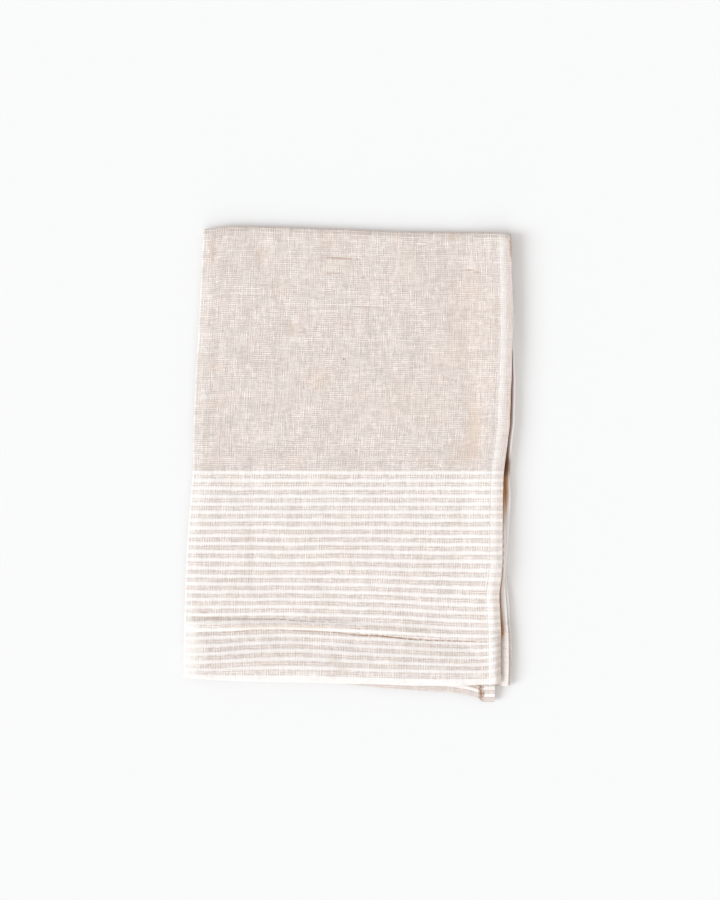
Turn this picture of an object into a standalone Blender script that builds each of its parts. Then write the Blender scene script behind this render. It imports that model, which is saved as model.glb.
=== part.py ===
"""A woven cotton tea towel, hemmed all round, folded in four and lying flat.

The towel is one sheet of cloth. It is folded down its middle first, which
gives the soft fold on the left, and then across, which gives the fold at the
top. That leaves four layers, numbered from the top:

    layer 1  outer half, right side up     } joined by the left fold
    layer 2  inner half, wrong side up     }
    layer 3  inner half, right side up     } joined by the left fold
    layer 4  outer half, wrong side up     }

Layers 1 and 4 are joined by the outer bend of the top fold, layers 2 and 3
by its inner bend. The free, hemmed edges are at the right and at the bottom.

The frame has X to the right and Y up, as the towel is seen from above, and Z
towards the eye. The origin is in the middle of the underside, which is the
right side of layer 4 and lies at z = 0. Sizes are in millimetres and become
metres where the mesh is made.
"""

import math
from collections import namedtuple

import bmesh
import bpy
import numpy as np

MM = 0.001

# The cloth
CLOTH = 1.0  # thickness of the woven cloth with its nap
HEM = 1.8  # thickness over a turned and sewn hem
SIDE_HEM = 10.7  # width of the hems down the long sides
END_HEM = 9.5  # width of the hems across the ends
HALF_WIDTH = 248.0  # from the left fold to a side hem's edge
HALF_LENGTH = 358.0  # from the top fold to an end hem's edge

# How the layers lie on each other
SLACK_GAP = 0.8  # air between two layers of plain cloth
TOP_SLACK = 0.5  # more air under the top layer, which nothing presses down
HEM_GAP = 2.1  # air between two layers whose hems lie back to back
TOP_HEM_GAP = 2.3  # the same under the top layer
HEM_RISE = 26.0  # distance over which a layer climbs on to a hem
HEM_CALM = 0.5  # share of the top layer's unevenness that the hems press out
TOP_DEPTH = 4.3  # how far the outer bend of the top fold stands out
INNER_DEPTH = 1.4  # the same for the inner bend
LEFT_DEPTH = 1.9  # how far the left fold stands out

# The free corner of layer 2 sags past the ends of layers 3 and 4
SAG_START = 2.0  # how far past their ends the sag starts
SAG_REACH = 13.0  # over what length it grows
SAG_DROP = 2.6

# The side hem of layer 1 settles at the bottom right, where layer 2 is short
SETTLE_START = 0.2  # how far past the edge of layer 2 it starts
SETTLE_REACH = 4.4  # over what width it grows
SETTLE_DROP = 2.1
SETTLE_TOP = -128.0  # the Y below which it settles
SETTLE_LENGTH = 12.0  # over what length down the hem it starts to

# The free edges of layers 3 and 4 curl up past the edge of layer 1
CURL_START = 0.6  # how far past it they start
CURL_POWER = 1.3  # how much steeper they get towards the edge
CURL_LEAD = 1.1  # how much sooner layer 3 rises, to ride clear of layer 4

# Where the hemmed edges and the left fold lie, down the towel: the X of the
# fold of the upper and the lower pair of layers, of the four side edges, and
# how high the edge of layer 4 curls up. Layer 3 curls up with it.
Side = namedtuple("Side", "y fold_12 fold_34 edge_1 edge_2 edge_3 edge_4 curl")
SIDES = (
    Side(188, -115.7, -115.2, 127.0, 125.6, 126.2, 128.6, 0.0),
    Side(160, -117.0, -115.8, 128.0, 126.0, 126.4, 128.9, 0.0),
    Side(130, -118.4, -116.6, 128.8, 126.4, 126.8, 129.8, 1.4),
    Side(104, -119.8, -117.4, 128.8, 126.0, 126.6, 130.5, 3.6),
    Side(78, -121.4, -118.6, 128.2, 125.4, 126.0, 131.2, 5.4),
    Side(52, -122.8, -120.0, 127.2, 124.6, 125.2, 131.3, 6.0),
    Side(30, -123.6, -121.2, 126.4, 123.8, 124.2, 130.4, 6.0),
    Side(14, -124.0, -121.8, 124.4, 122.2, 122.6, 128.6, 5.8),
    Side(-6, -124.2, -122.2, 121.8, 120.4, 121.0, 127.2, 5.0),
    Side(-24, -125.6, -123.2, 121.2, 120.6, 122.4, 127.8, 4.0),
    Side(-46, -127.4, -124.8, 120.9, 121.4, 123.2, 127.0, 3.0),
    Side(-70, -128.9, -126.4, 120.7, 122.2, 123.0, 125.4, 2.0),
    Side(-86, -129.6, -127.2, 120.2, 121.4, 122.6, 124.6, 1.6),
    Side(-104, -130.2, -127.8, 118.3, 117.6, 123.4, 126.4, 2.4),
    Side(-122, -130.7, -128.2, 119.2, 116.6, 124.6, 127.2, 3.0),
    Side(-142, -131.0, -128.4, 119.6, 116.2, 125.8, 129.0, 3.2),
    Side(-166, -130.9, -128.4, 119.6, 115.6, 125.8, 128.4, 3.0),
    Side(-190, -130.7, -128.4, 119.8, 114.9, 124.2, 127.0, 2.4),
)

# Where the top fold and the end hems lie, across the towel: the Y of the
# outer bend, and of the end edges of layers 1 and 2 and of layers 3 and 4.
Across = namedtuple("Across", "x top end_1 end_2 end_34")
ACROSS = (
    Across(-131, 186.8, -168.8, -168.8, -165.4),
    Across(-116, 187.2, -169.8, -169.6, -166.2),
    Across(-100, 188.3, -170.8, -170.4, -167.0),
    Across(-70, 188.4, -171.8, -171.4, -168.0),
    Across(-39, 187.4, -172.3, -172.2, -169.2),
    Across(-5, 186.3, -173.3, -174.0, -170.4),
    Across(24, 184.9, -173.9, -176.8, -171.4),
    Across(56, 184.2, -174.9, -179.2, -172.4),
    Across(87, 183.8, -174.7, -181.6, -173.6),
    Across(102, 183.5, -174.1, -185.2, -174.8),
    Across(106, 183.4, -174.0, -188.2, -175.0),
    Across(116, 183.2, -173.7, -188.7, -175.6),
    Across(130, 181.8, -172.8, -189.0, -176.2),
)

# The crease that runs across the striped end of layer 1: a low ridge with a
# furrow on each side that fades to the right.
Crease = namedtuple("Crease", "x ridge furrow_high furrow_low height")
CREASE = (
    Crease(-131, -126.5, -121.0, -132.6, 1.9),
    Crease(-86, -127.0, -121.6, -132.4, 2.0),
    Crease(-40, -127.2, -122.2, -131.8, 1.7),
    Crease(-8, -128.2, -123.4, -133.0, 1.3),
    Crease(30, -131.4, -126.6, -136.2, 1.1),
    Crease(70, -134.6, -129.6, -138.8, 0.9),
    Crease(104, -136.6, -131.4, -140.0, 0.5),
    Crease(124, -137.6, -132.6, -141.0, 0.0),
)
RIDGE_WIDTH = 4.6
FURROW_WIDTH = 2.6
FURROW_SHARE = 0.45  # depth of a furrow as a share of the ridge's height

# Soft swells (+) and hollows (-) of layer 1, left by washing and pressing
Swell = namedtuple("Swell", "x y reach_x reach_y height")
SWELLS = (
    Swell(-96, 150, 22, 30, 0.5),
    Swell(-70, 168, 14, 14, -0.4),
    Swell(-8, 168, 16, 16, -0.5),
    Swell(40, 150, 26, 18, 0.5),
    Swell(86, 152, 12, 10, -0.5),
    Swell(-48, 112, 10, 20, -0.5),
    Swell(-92, 80, 20, 24, 0.5),
    Swell(20, 84, 34, 24, 0.45),
    Swell(100, 36, 9, 22, -0.55),
    Swell(6, 16, 16, 14, -0.5),
    Swell(-78, 14, 12, 14, -0.45),
    Swell(60, 10, 24, 20, 0.4),
    Swell(-104, -40, 18, 30, 0.45),
    Swell(-30, -60, 30, 20, 0.5),
    Swell(58, -78, 26, 18, -0.4),
    Swell(-76, -104, 24, 9, 0.5),
    Swell(-6, -158, 9, 10, -0.6),
    Swell(-60, -156, 24, 9, 0.4),
    Swell(52, -158, 22, 9, 0.4),
)

# The old pressed crease down the left third of the towel
OLD_CREASE_X = -76.0
OLD_CREASE_TOP = 24.0
OLD_CREASE_BOTTOM = -110.0
OLD_CREASE_FADE = 20.0
OLD_CREASE_WIDTH = 3.4
OLD_CREASE_DEPTH = 0.5

# Steps of the mesh: distances from a hemmed edge across the cloth, from an
# end along it, and angles round the two folds
FROM_SIDE = (
    0.0, 1.5, 3.2, 5.8, 8.4, 10.7, 11.9, 18, 27, 38, 52, 68, 86, 104, 122, 140,
    158, 172, 186, 202, 218, 230, 240, 248,
)
FROM_END = (
    0.0, 3.2, 6.4, 9.5, 10.7, 16, 23, 29, 33, 37, 41, 45, 49, 54, 62, 74, 90, 108,
    126, 146, 166, 186, 206, 226, 246, 266, 284, 302, 318, 332, 344, 352, 358,
)
FOLD_ANGLES = (-60.0, -30.0, 0.0, 30.0, 60.0)
SETTLING_ROUNDS = 6  # how often a point's X and Y are worked out from each other

TOWEL_COLOUR = (0.775, 0.70, 0.655, 1.0)
TOWEL_ROUGHNESS = 0.92


class Line:
    """A smooth line through the rows of a table, one column against another."""

    def __init__(self, rows, along, value):
        pairs = sorted((getattr(row, along), getattr(row, value)) for row in rows)
        self.at = np.array([pair[0] for pair in pairs], float)
        self.value = np.array([pair[1] for pair in pairs], float)
        self.slope = np.gradient(self.value, self.at)

    def __call__(self, at):
        at = np.clip(at, self.at[0], self.at[-1])
        k = np.clip(np.searchsorted(self.at, at) - 1, 0, len(self.at) - 2)
        span = self.at[k + 1] - self.at[k]
        s = (at - self.at[k]) / span
        rise = s * s * (3 - 2 * s)
        lean_in = s * (1 - s) ** 2 * span * self.slope[k]
        lean_out = s * s * (s - 1) * span * self.slope[k + 1]
        return self.value[k] * (1 - rise) + self.value[k + 1] * rise + lean_in + lean_out


FOLD_X = {
    "upper": Line(SIDES, "y", "fold_12"),
    "lower": Line(SIDES, "y", "fold_34"),
}
EDGE_X = {layer: Line(SIDES, "y", f"edge_{layer}") for layer in (1, 2, 3, 4)}
CURL = Line(SIDES, "y", "curl")
TOP_Y = Line(ACROSS, "x", "top")
END_Y = {
    1: Line(ACROSS, "x", "end_1"),
    2: Line(ACROSS, "x", "end_2"),
    3: Line(ACROSS, "x", "end_34"),
    4: Line(ACROSS, "x", "end_34"),
}
CREASE_LINE = {name: Line(CREASE, "x", name) for name in Crease._fields[1:]}


def ease(t):
    """Go smoothly from 0 to 1 as t does."""
    t = np.clip(t, 0.0, 1.0)
    return t * t * (3 - 2 * t)


def bell(distance, width):
    """A smooth hump that is 1 on its line and fades over width."""
    return np.exp(-((distance / width) ** 2))


def hem_zone(x, y, layer):
    """How far a place is on the way up to a layer's hems, from 0 to 1."""
    side = ease(1 + (x - EDGE_X[layer](y) + SIDE_HEM) / HEM_RISE)
    end = ease(1 - (y - END_Y[layer](x) - END_HEM) / HEM_RISE)
    return np.maximum(side, end)


def crease_height(x, y):
    """The ridge across the striped end, with its furrows."""
    height = CREASE_LINE["height"](x)
    ridge = bell(y - CREASE_LINE["ridge"](x), RIDGE_WIDTH)
    high = bell(y - CREASE_LINE["furrow_high"](x), FURROW_WIDTH)
    low = bell(y - CREASE_LINE["furrow_low"](x), FURROW_WIDTH)
    return height * (ridge - FURROW_SHARE * (high + low))


def swell_height(x, y):
    """The soft swells and hollows of the top layer, with the old crease."""
    total = np.zeros(np.shape(x))
    for swell in SWELLS:
        across = bell(x - swell.x, swell.reach_x)
        down = bell(y - swell.y, swell.reach_y)
        total = total + swell.height * across * down
    below_top = ease((OLD_CREASE_TOP - y) / OLD_CREASE_FADE)
    above_bottom = ease((y - OLD_CREASE_BOTTOM) / OLD_CREASE_FADE)
    crease = below_top * above_bottom * bell(x - OLD_CREASE_X, OLD_CREASE_WIDTH)
    return total - OLD_CREASE_DEPTH * crease


def gap_34(x, y):
    """Air between layers 3 and 4, which lie wrong side to wrong side."""
    return SLACK_GAP + (HEM_GAP - SLACK_GAP) * hem_zone(x, y, 3)


def gap_12(x, y):
    """Air between layers 1 and 2, with the unevenness of the top layer."""
    hems = np.maximum(hem_zone(x, y, 1), hem_zone(x, y, 2))
    uneven = crease_height(x, y) + swell_height(x, y)
    loose = SLACK_GAP + TOP_SLACK
    middle = np.maximum(loose + uneven * (1 - HEM_CALM * hems), SLACK_GAP)
    return middle + (TOP_HEM_GAP - loose) * hems


def free_corner_sag(x, y):
    """How far the upper layers sag past the ends of layers 3 and 4."""
    past = END_Y[3](x) - SAG_START - y
    return SAG_DROP * ease(past / SAG_REACH)


def edge_settling(x, y):
    """How far layer 1 settles where it reaches past the edge of layer 2."""
    past = x - EDGE_X[2](y) - SETTLE_START
    low_end = ease((SETTLE_TOP - y) / SETTLE_LENGTH)
    return SETTLE_DROP * low_end * ease(past / SETTLE_REACH)


def edge_curl(x, y):
    """How high layers 3 and 4 curl up past the edge of layer 1."""
    start = EDGE_X[1](y) + CURL_START
    share = np.clip((x - start) / (EDGE_X[4](y) - start), 0, 1)
    return np.maximum(CURL(y), 0) * share**CURL_POWER


def right_side(layer, x, y):
    """The height of a layer's right side."""
    if layer == 4:
        return edge_curl(x, y)
    top_3 = 2 * CLOTH + gap_34(x, y) + edge_curl(x + CURL_LEAD, y)
    if layer == 3:
        return top_3
    bottom_2 = top_3 + SLACK_GAP - free_corner_sag(x, y)
    if layer == 2:
        return bottom_2
    return bottom_2 + 2 * CLOTH + gap_12(x, y) - edge_settling(x, y)


def bend_depth(layer):
    """How far a layer's bend at the top stands out past its flat run."""
    return TOP_DEPTH if layer in (1, 4) else INNER_DEPTH


def bend_start(layer, x):
    """The Y at which a layer's flat run meets its bend at the top."""
    top = TOP_Y(x)
    if layer in (2, 3):
        top = top - 2 * CLOTH - gap_12(x, top - TOP_DEPTH)
    return top - bend_depth(layer)


def sheet(layer, across, along):
    """Points of a layer's flat run.

    across goes from 0 at the left fold to 1 at the side edge, and along goes
    from 0 at the top fold to 1 at the end edge.
    """
    fold = FOLD_X["upper" if layer in (1, 2) else "lower"]
    x = fold(0.0) + across * HALF_WIDTH
    y = -along * HALF_LENGTH
    for _ in range(SETTLING_ROUNDS):
        start = bend_start(layer, x)
        y = start + (END_Y[layer](x) - start) * along
        left = fold(y) + LEFT_DEPTH
        x = left + (EDGE_X[layer](y) - left) * across
    return np.stack([x, y, right_side(layer, x, y)], axis=-1)


def steps(distances, whole):
    """Both halves and the fold between them, as three rows of numbers.

    The first says which half a step is on, 0 or 1, or how far it is between
    them on the fold. The second says how far it is from the fold towards the
    hem, from 0 to 1, and the third how far it bulges with the fold.
    """
    near = [(0.0, 1 - d / whole, 0.0) for d in distances]
    bend = []
    for degrees in FOLD_ANGLES:
        angle = math.radians(degrees)
        bend.append(((1 + math.sin(angle)) / 2, 0.0, math.cos(angle)))
    far = [(1.0, 1 - d / whole, 0.0) for d in reversed(distances)]
    return np.array(near + bend + far).T


def towel_points():
    """The right side of the whole cloth, as a grid of points in metres.

    Columns go from the edge of the inner half, round the left fold, to the
    edge of the outer half. Rows go from the ends of the upper layers, round
    the top fold, to the ends of the lower ones.
    """
    outer, across, left_bulge = steps(FROM_SIDE, HALF_WIDTH)
    lower, along, top_bulge = steps(FROM_END, HALF_LENGTH)
    across, along = np.meshgrid(across, along)
    outer, lower = np.meshgrid(outer, lower)
    left_bulge, top_bulge = np.meshgrid(left_bulge, top_bulge)
    shares = {
        1: outer * (1 - lower),
        2: (1 - outer) * (1 - lower),
        3: (1 - outer) * lower,
        4: outer * lower,
    }
    points = np.zeros(across.shape + (3,))
    depth = np.zeros(across.shape)
    for layer, share in shares.items():
        points += share[..., None] * sheet(layer, across, along)
        depth += share * bend_depth(layer)
    points[..., 0] -= LEFT_DEPTH * left_bulge
    points[..., 1] += depth * top_bulge
    return points * MM


def hem_weights():
    """1 on the hems, 0 on the plain cloth, for each point of the grid."""
    side = [1.0 if d <= SIDE_HEM else 0.0 for d in FROM_SIDE]
    end = [1.0 if d <= END_HEM else 0.0 for d in FROM_END]
    fold = [0.0] * len(FOLD_ANGLES)
    columns = np.array(side + fold + side[::-1])
    rows = np.array(end + fold + end[::-1])
    return np.maximum(rows[:, None], columns[None, :])


def grid_mesh(name, points, weights):
    """A grid of faces with its corners at the given points, and their weights."""
    rows, columns = weights.shape
    mesh = bpy.data.meshes.new(name)
    bm = bmesh.new()
    bmesh.ops.create_grid(bm, x_segments=columns - 1, y_segments=rows - 1, size=1.0)
    group = bm.verts.layers.deform.verify()
    for vert in bm.verts:
        column = round((vert.co.x + 1) / 2 * (columns - 1))
        row = round((vert.co.y + 1) / 2 * (rows - 1))
        vert.co = points[row, column]
        vert[group][0] = float(weights[row, column])
    bm.to_mesh(mesh)
    bm.free()
    return mesh


def cloth_material():
    """Washed cotton, off-white warp and sand weft."""
    material = bpy.data.materials.new("washed_cotton")
    material.use_nodes = True
    shader = material.node_tree.nodes["Principled BSDF"]
    shader.inputs["Base Color"].default_value = TOWEL_COLOUR
    shader.inputs["Roughness"].default_value = TOWEL_ROUGHNESS
    shader.inputs["Metallic"].default_value = 0.0
    return material


def build_towel(collection):
    """The folded towel: a sheet on its folds, thicker over its hems."""
    mesh = grid_mesh("towel_cloth", towel_points(), hem_weights())
    mesh.materials.append(cloth_material())
    mesh.shade_smooth()
    towel = bpy.data.objects.new("towel_cloth", mesh)
    collection.objects.link(towel)
    hems = towel.vertex_groups.new(name="hems")
    thicken = towel.modifiers.new("cloth thickness", "SOLIDIFY")
    thicken.thickness = HEM * MM
    thicken.offset = -1.0
    thicken.vertex_group = hems.name
    thicken.thickness_vertex_group = CLOTH / HEM
    return towel


def main():
    """Clear the scene and build the towel."""
    for old in list(bpy.data.objects):
        bpy.data.objects.remove(old, do_unlink=True)
    collection = bpy.data.collections.new("tea_towel")
    bpy.context.scene.collection.children.link(collection)
    build_towel(collection)


main()
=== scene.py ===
"""Looks of a handwoven cotton tea towel that lies folded in four on a pale floor.

The towel is one thin sheet on the four layers of its folds, with turned hems,
its pressed creases and its stitching. Sizes are in millimetres in the frame
of the solid model and become metres where a mesh is made.
"""

import logging
import math
from collections.abc import Iterable, Sequence
from dataclasses import dataclass, field
from enum import Enum
from typing import NamedTuple, Union

import bmesh
import bpy
import numpy as np
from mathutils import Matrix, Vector

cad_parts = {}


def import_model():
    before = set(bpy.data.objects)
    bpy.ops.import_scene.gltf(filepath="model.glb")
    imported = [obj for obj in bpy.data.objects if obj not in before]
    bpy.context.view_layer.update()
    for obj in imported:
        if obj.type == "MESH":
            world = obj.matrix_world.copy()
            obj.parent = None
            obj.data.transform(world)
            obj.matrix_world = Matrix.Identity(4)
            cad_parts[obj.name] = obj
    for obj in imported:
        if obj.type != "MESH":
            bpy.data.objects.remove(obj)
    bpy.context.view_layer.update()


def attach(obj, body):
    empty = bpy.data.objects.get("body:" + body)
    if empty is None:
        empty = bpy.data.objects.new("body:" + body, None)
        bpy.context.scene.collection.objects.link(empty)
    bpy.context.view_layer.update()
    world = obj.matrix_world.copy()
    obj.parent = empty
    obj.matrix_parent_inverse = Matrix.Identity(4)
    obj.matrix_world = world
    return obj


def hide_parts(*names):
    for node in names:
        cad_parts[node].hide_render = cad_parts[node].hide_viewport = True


LOG = logging.getLogger("tea_towel")

MM = 0.001
BODY = "root"
CLOTH_NODE = "towel_cloth"
# The vertex attribute that holds each point's share of painted shade in the gap at the right
CLOTH_MAP = "weave"
CREVICE = "crevice"
STITCH_PITCH = 2.9
SEAM_INSET = 0.5  # from the inner edge of a hem to its seam
CLEAR_OF_FINE = 0.45  # how near an even step may come to a given one, in steps

Array = np.ndarray
Colour = tuple[float, float, float]
Pair = tuple[float, float]


# --------------------------------------------------------------------------
# Small tools for shapes
# --------------------------------------------------------------------------


def ease(t: Array) -> Array:
    """Go smoothly from 0 to 1 as t does.

    Args:
        t: Where to read the curve.

    Returns:
        The eased values.
    """
    t = np.clip(t, 0.0, 1.0)
    return t * t * (3 - 2 * t)


def bell(distance: Array, width: float) -> Array:
    """A smooth hump that is 1 on its line.

    Args:
        distance: Distances from the line.
        width: How far the hump reaches.

    Returns:
        The hump's height at each distance.
    """
    return np.exp(-((distance / width) ** 2))


class SmoothLine:
    """A smooth line through the rows of a table, one column against another."""

    def __init__(self, rows: Sequence[NamedTuple], along: str, value: str) -> None:
        """Read two columns of a table.

        Args:
            rows: The table.
            along: Name of the column that the line is read along.
            value: Name of the column that it gives.
        """
        pairs = sorted((getattr(row, along), getattr(row, value)) for row in rows)
        self.at = np.array([pair[0] for pair in pairs], float)
        self.value = np.array([pair[1] for pair in pairs], float)
        self.slope = np.gradient(self.value, self.at)

    def __call__(self, at: Array) -> Array:
        """Read the line.

        Args:
            at: Where to read it, held to the table's range.

        Returns:
            The smooth values.
        """
        at = np.clip(at, self.at[0], self.at[-1])
        k = np.clip(np.searchsorted(self.at, at) - 1, 0, len(self.at) - 2)
        span = self.at[k + 1] - self.at[k]
        s = (at - self.at[k]) / span
        rise = s * s * (3 - 2 * s)
        lean_in = s * (1 - s) ** 2 * span * self.slope[k]
        lean_out = s * s * (s - 1) * span * self.slope[k + 1]
        return self.value[k] * (1 - rise) + self.value[k + 1] * rise + lean_in + lean_out


def placed(name: str, data: bpy.types.ID) -> bpy.types.Object:
    """Make an object of some data and put it in the scene.

    Args:
        name: The object's name.
        data: Its mesh, camera or light.

    Returns:
        The object.
    """
    made = bpy.data.objects.new(name, data)
    bpy.context.scene.collection.objects.link(made)
    return made


def grid_mesh(columns: int, rows: int, size: float) -> bmesh.types.BMesh:
    """A flat square grid, to be shaped.

    Args:
        columns: How many faces it has across.
        rows: How many it has along.
        size: Half the length of its side.

    Returns:
        The grid, which the caller frees.
    """
    grid = bmesh.new()
    bmesh.ops.create_grid(grid, x_segments=columns, y_segments=rows, size=size)
    return grid


@dataclass(frozen=True)
class Ripples:
    """An even, irregular swell made of waves in all directions.

    Attributes:
        seed: Seed of the directions and phases.
        shortest: Shortest wave in mm.
        longest: Longest wave in mm.
        height: Root mean square height in mm.
        count: How many waves are added up.
    """

    seed: int
    shortest: float
    longest: float
    height: float
    count: int = 28

    def __call__(self, x: Array, y: Array) -> Array:
        """Height of the swell.

        Args:
            x: Places along X in mm.
            y: Places along Y in mm.

        Returns:
            Heights in mm.
        """
        draw = np.random.default_rng(self.seed)
        angle = draw.uniform(0, 2 * math.pi, self.count)
        wave = draw.uniform(self.shortest, self.longest, self.count)
        phase = draw.uniform(0, 2 * math.pi, self.count)
        total = np.zeros(np.shape(x))
        for a, w, p in zip(angle, wave, phase):
            turn = 2 * math.pi / w
            total = total + np.sin(turn * (x * math.cos(a) + y * math.sin(a)) + p)
        return total * self.height * math.sqrt(2 / self.count)


# --------------------------------------------------------------------------
# The folds
# --------------------------------------------------------------------------


class Layer(Enum):
    """The four layers of the folded towel, from the top."""

    OUTER_TOP = 1
    INNER_TOP = 2
    INNER_LOW = 3
    OUTER_LOW = 4

    @property
    def outer(self) -> bool:
        """Whether the layer is of the outer half of the towel."""
        return self in (Layer.OUTER_TOP, Layer.OUTER_LOW)

    @property
    def upper(self) -> bool:
        """Whether the layer lies above the top fold's inner bend."""
        return self in (Layer.OUTER_TOP, Layer.INNER_TOP)


class Side(NamedTuple):
    """Where the left fold and the side edges lie, at one level down the towel."""

    y: float
    fold_12: float
    fold_34: float
    edge_1: float
    edge_2: float
    edge_3: float
    edge_4: float
    curl: float


SIDES = (
    Side(188, -115.7, -115.2, 127.0, 125.6, 126.2, 128.6, 0.0),
    Side(160, -117.0, -115.8, 128.0, 126.0, 126.4, 128.9, 0.0),
    Side(130, -118.4, -116.6, 128.8, 126.4, 126.8, 129.8, 1.4),
    Side(104, -119.8, -117.4, 128.8, 126.0, 126.6, 130.5, 3.6),
    Side(78, -121.4, -118.6, 128.2, 125.4, 126.0, 131.2, 5.4),
    Side(52, -122.8, -120.0, 127.2, 124.6, 125.2, 131.3, 6.0),
    Side(30, -123.6, -121.2, 126.4, 123.8, 124.2, 130.4, 6.0),
    Side(14, -124.0, -121.8, 124.4, 122.2, 122.6, 128.6, 5.8),
    Side(-6, -124.2, -122.2, 121.8, 120.4, 121.0, 127.2, 5.0),
    Side(-24, -125.6, -123.2, 121.2, 120.6, 122.4, 127.8, 4.0),
    Side(-46, -127.4, -124.8, 120.9, 121.4, 123.2, 127.0, 3.0),
    Side(-70, -128.9, -126.4, 120.7, 122.2, 123.0, 125.4, 2.0),
    Side(-86, -129.6, -127.2, 120.2, 121.4, 122.6, 124.6, 1.6),
    Side(-104, -130.2, -127.8, 118.3, 117.6, 123.4, 126.4, 2.4),
    Side(-122, -130.7, -128.2, 119.2, 116.6, 124.6, 127.2, 3.0),
    Side(-142, -131.0, -128.4, 119.6, 116.2, 125.8, 129.0, 3.2),
    Side(-166, -130.9, -128.4, 119.6, 115.6, 125.8, 128.4, 3.0),
    Side(-190, -130.7, -128.4, 119.8, 114.9, 124.2, 127.0, 2.4),
)


class Across(NamedTuple):
    """Where the top fold and the end edges lie, at one place across the towel."""

    x: float
    top: float
    end_1: float
    end_2: float
    end_34: float


ACROSS = (
    Across(-131, 186.8, -168.8, -168.8, -165.4),
    Across(-110, 186.9, -170.2, -169.9, -166.5),
    Across(-107, 187.1, -170.4, -170.1, -166.7),
    Across(-104, 188.2, -170.6, -170.2, -166.8),
    Across(-100, 188.5, -170.8, -170.4, -167.0),
    Across(-70, 188.4, -171.8, -171.4, -168.0),
    Across(-39, 187.4, -172.3, -172.2, -169.2),
    Across(-5, 186.3, -173.3, -174.0, -170.4),
    Across(24, 184.9, -173.9, -176.8, -171.4),
    Across(56, 184.2, -174.9, -179.2, -172.4),
    Across(87, 183.8, -174.7, -181.6, -173.6),
    Across(101, 183.5, -174.3, -184.8, -174.7),
    Across(103, 183.4, -174.1, -185.6, -174.8),
    Across(105, 183.4, -174.0, -188.3, -174.9),
    Across(107.5, 183.4, -174.0, -188.5, -175.0),
    Across(116, 183.2, -173.7, -188.7, -175.6),
    Across(130, 181.8, -172.8, -189.0, -176.2),
)


STRIPES = 26
STRIPE_PITCH = 6.32  # on the flat cloth
FIRST_STRIPE = 169.1  # from the striped end of the flat cloth
LYING_PITCH = 6.24  # as the cloth lies, a little slack
LYING_FIRST = -6.8  # the Y of the first stripe as it lies


class Drift(NamedTuple):
    """A place where the stripes lie higher (+) or lower (-) than evenly."""

    x: float
    y: float
    reach_x: float
    reach_y: float
    shift: float


# Down towards the crease at the right, up under it at the left, up where the
# side hem holds them, and a little down all the way across above the crease
DRIFTS = (
    Drift(105, -120, 70, 40, -5.0),
    Drift(-50, -150, 52, 22, 3.0),
    Drift(121, -158, 9, 24, 3.2),
    Drift(0, -92, 200, 18, -1.0),
)


class Crease(NamedTuple):
    """The soft ridge across the striped end, at one place across."""

    x: float
    ridge: float
    furrow_high: float
    furrow_low: float
    height: float


CREASES = (
    Crease(-131, -126.5, -121.0, -132.6, 1.4),
    Crease(-86, -127.0, -121.6, -132.4, 1.5),
    Crease(-40, -127.2, -122.2, -131.8, 1.4),
    Crease(-8, -128.2, -123.4, -133.0, 1.1),
    Crease(30, -131.4, -126.6, -136.2, 0.9),
    Crease(70, -134.6, -129.6, -138.8, 0.8),
    Crease(104, -136.6, -131.4, -140.0, 0.5),
    Crease(124, -137.6, -132.6, -141.0, 0.0),
)


class Furrow(NamedTuple):
    """The sharp bottom of a furrow beside the ridge, at one place across."""

    x: float
    y: float
    depth: float


HIGH_FURROW = (
    Furrow(-127.0, -120.4, 0.2),
    Furrow(-112.0, -121.6, 0.3),
    Furrow(-92.0, -122.1, 0.3),
    Furrow(-74.7, -123.0, 0.45),
    Furrow(-54.9, -123.0, 0.6),
    Furrow(-41.5, -124.0, 0.6),
    Furrow(-23.3, -124.7, 0.5),
    Furrow(12.0, -126.4, 0.0),
)
LOW_FURROW = (
    Furrow(-121.3, -133.8, 0.3),
    Furrow(-103.1, -133.1, 0.4),
    Furrow(-86.5, -132.3, 0.5),
    Furrow(-73.1, -131.3, 0.5),
    Furrow(-40.7, -131.8, 0.6),
    Furrow(-11.5, -133.4, 0.7),
    Furrow(10.7, -135.5, 0.9),
    Furrow(20.1, -135.8, 1.1),
    Furrow(35.9, -137.3, 1.1),
    Furrow(58.0, -139.3, 0.9),
    Furrow(75.4, -139.8, 0.8),
    Furrow(103.9, -140.6, 0.6),
    Furrow(119.0, -140.8, 0.0),
)


class Swell(NamedTuple):
    """A soft swell (+) or hollow (-) of the top layer."""

    x: float
    y: float
    reach_x: float
    reach_y: float
    height: float


SWELLS = (
    Swell(-96, 150, 22, 30, 0.5),
    Swell(-70, 168, 14, 14, -0.4),
    Swell(-8, 168, 16, 16, -0.5),
    Swell(40, 150, 26, 18, 0.5),
    Swell(86, 152, 12, 10, -0.5),
    Swell(-48, 112, 10, 20, -0.5),
    Swell(-92, 80, 20, 24, 0.5),
    Swell(20, 84, 34, 24, 0.45),
    Swell(100, 36, 9, 22, -0.55),
    Swell(6, 16, 16, 14, -0.5),
    Swell(-78, 14, 12, 14, -0.45),
    Swell(60, 10, 24, 20, 0.4),
    Swell(-104, -40, 18, 30, 0.45),
    Swell(-30, -60, 30, 20, 0.5),
    Swell(58, -78, 26, 18, -0.4),
    Swell(-76, -104, 24, 9, 0.5),
    Swell(-6, -158, 9, 10, -0.6),
    Swell(-60, -156, 24, 9, 0.4),
    Swell(52, -158, 22, 9, 0.4),
)


class Pinch(NamedTuple):
    """A short, sharp crease in the top layer, from one point to another."""

    x1: float
    y1: float
    x2: float
    y2: float
    width: float
    depth: float


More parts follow.
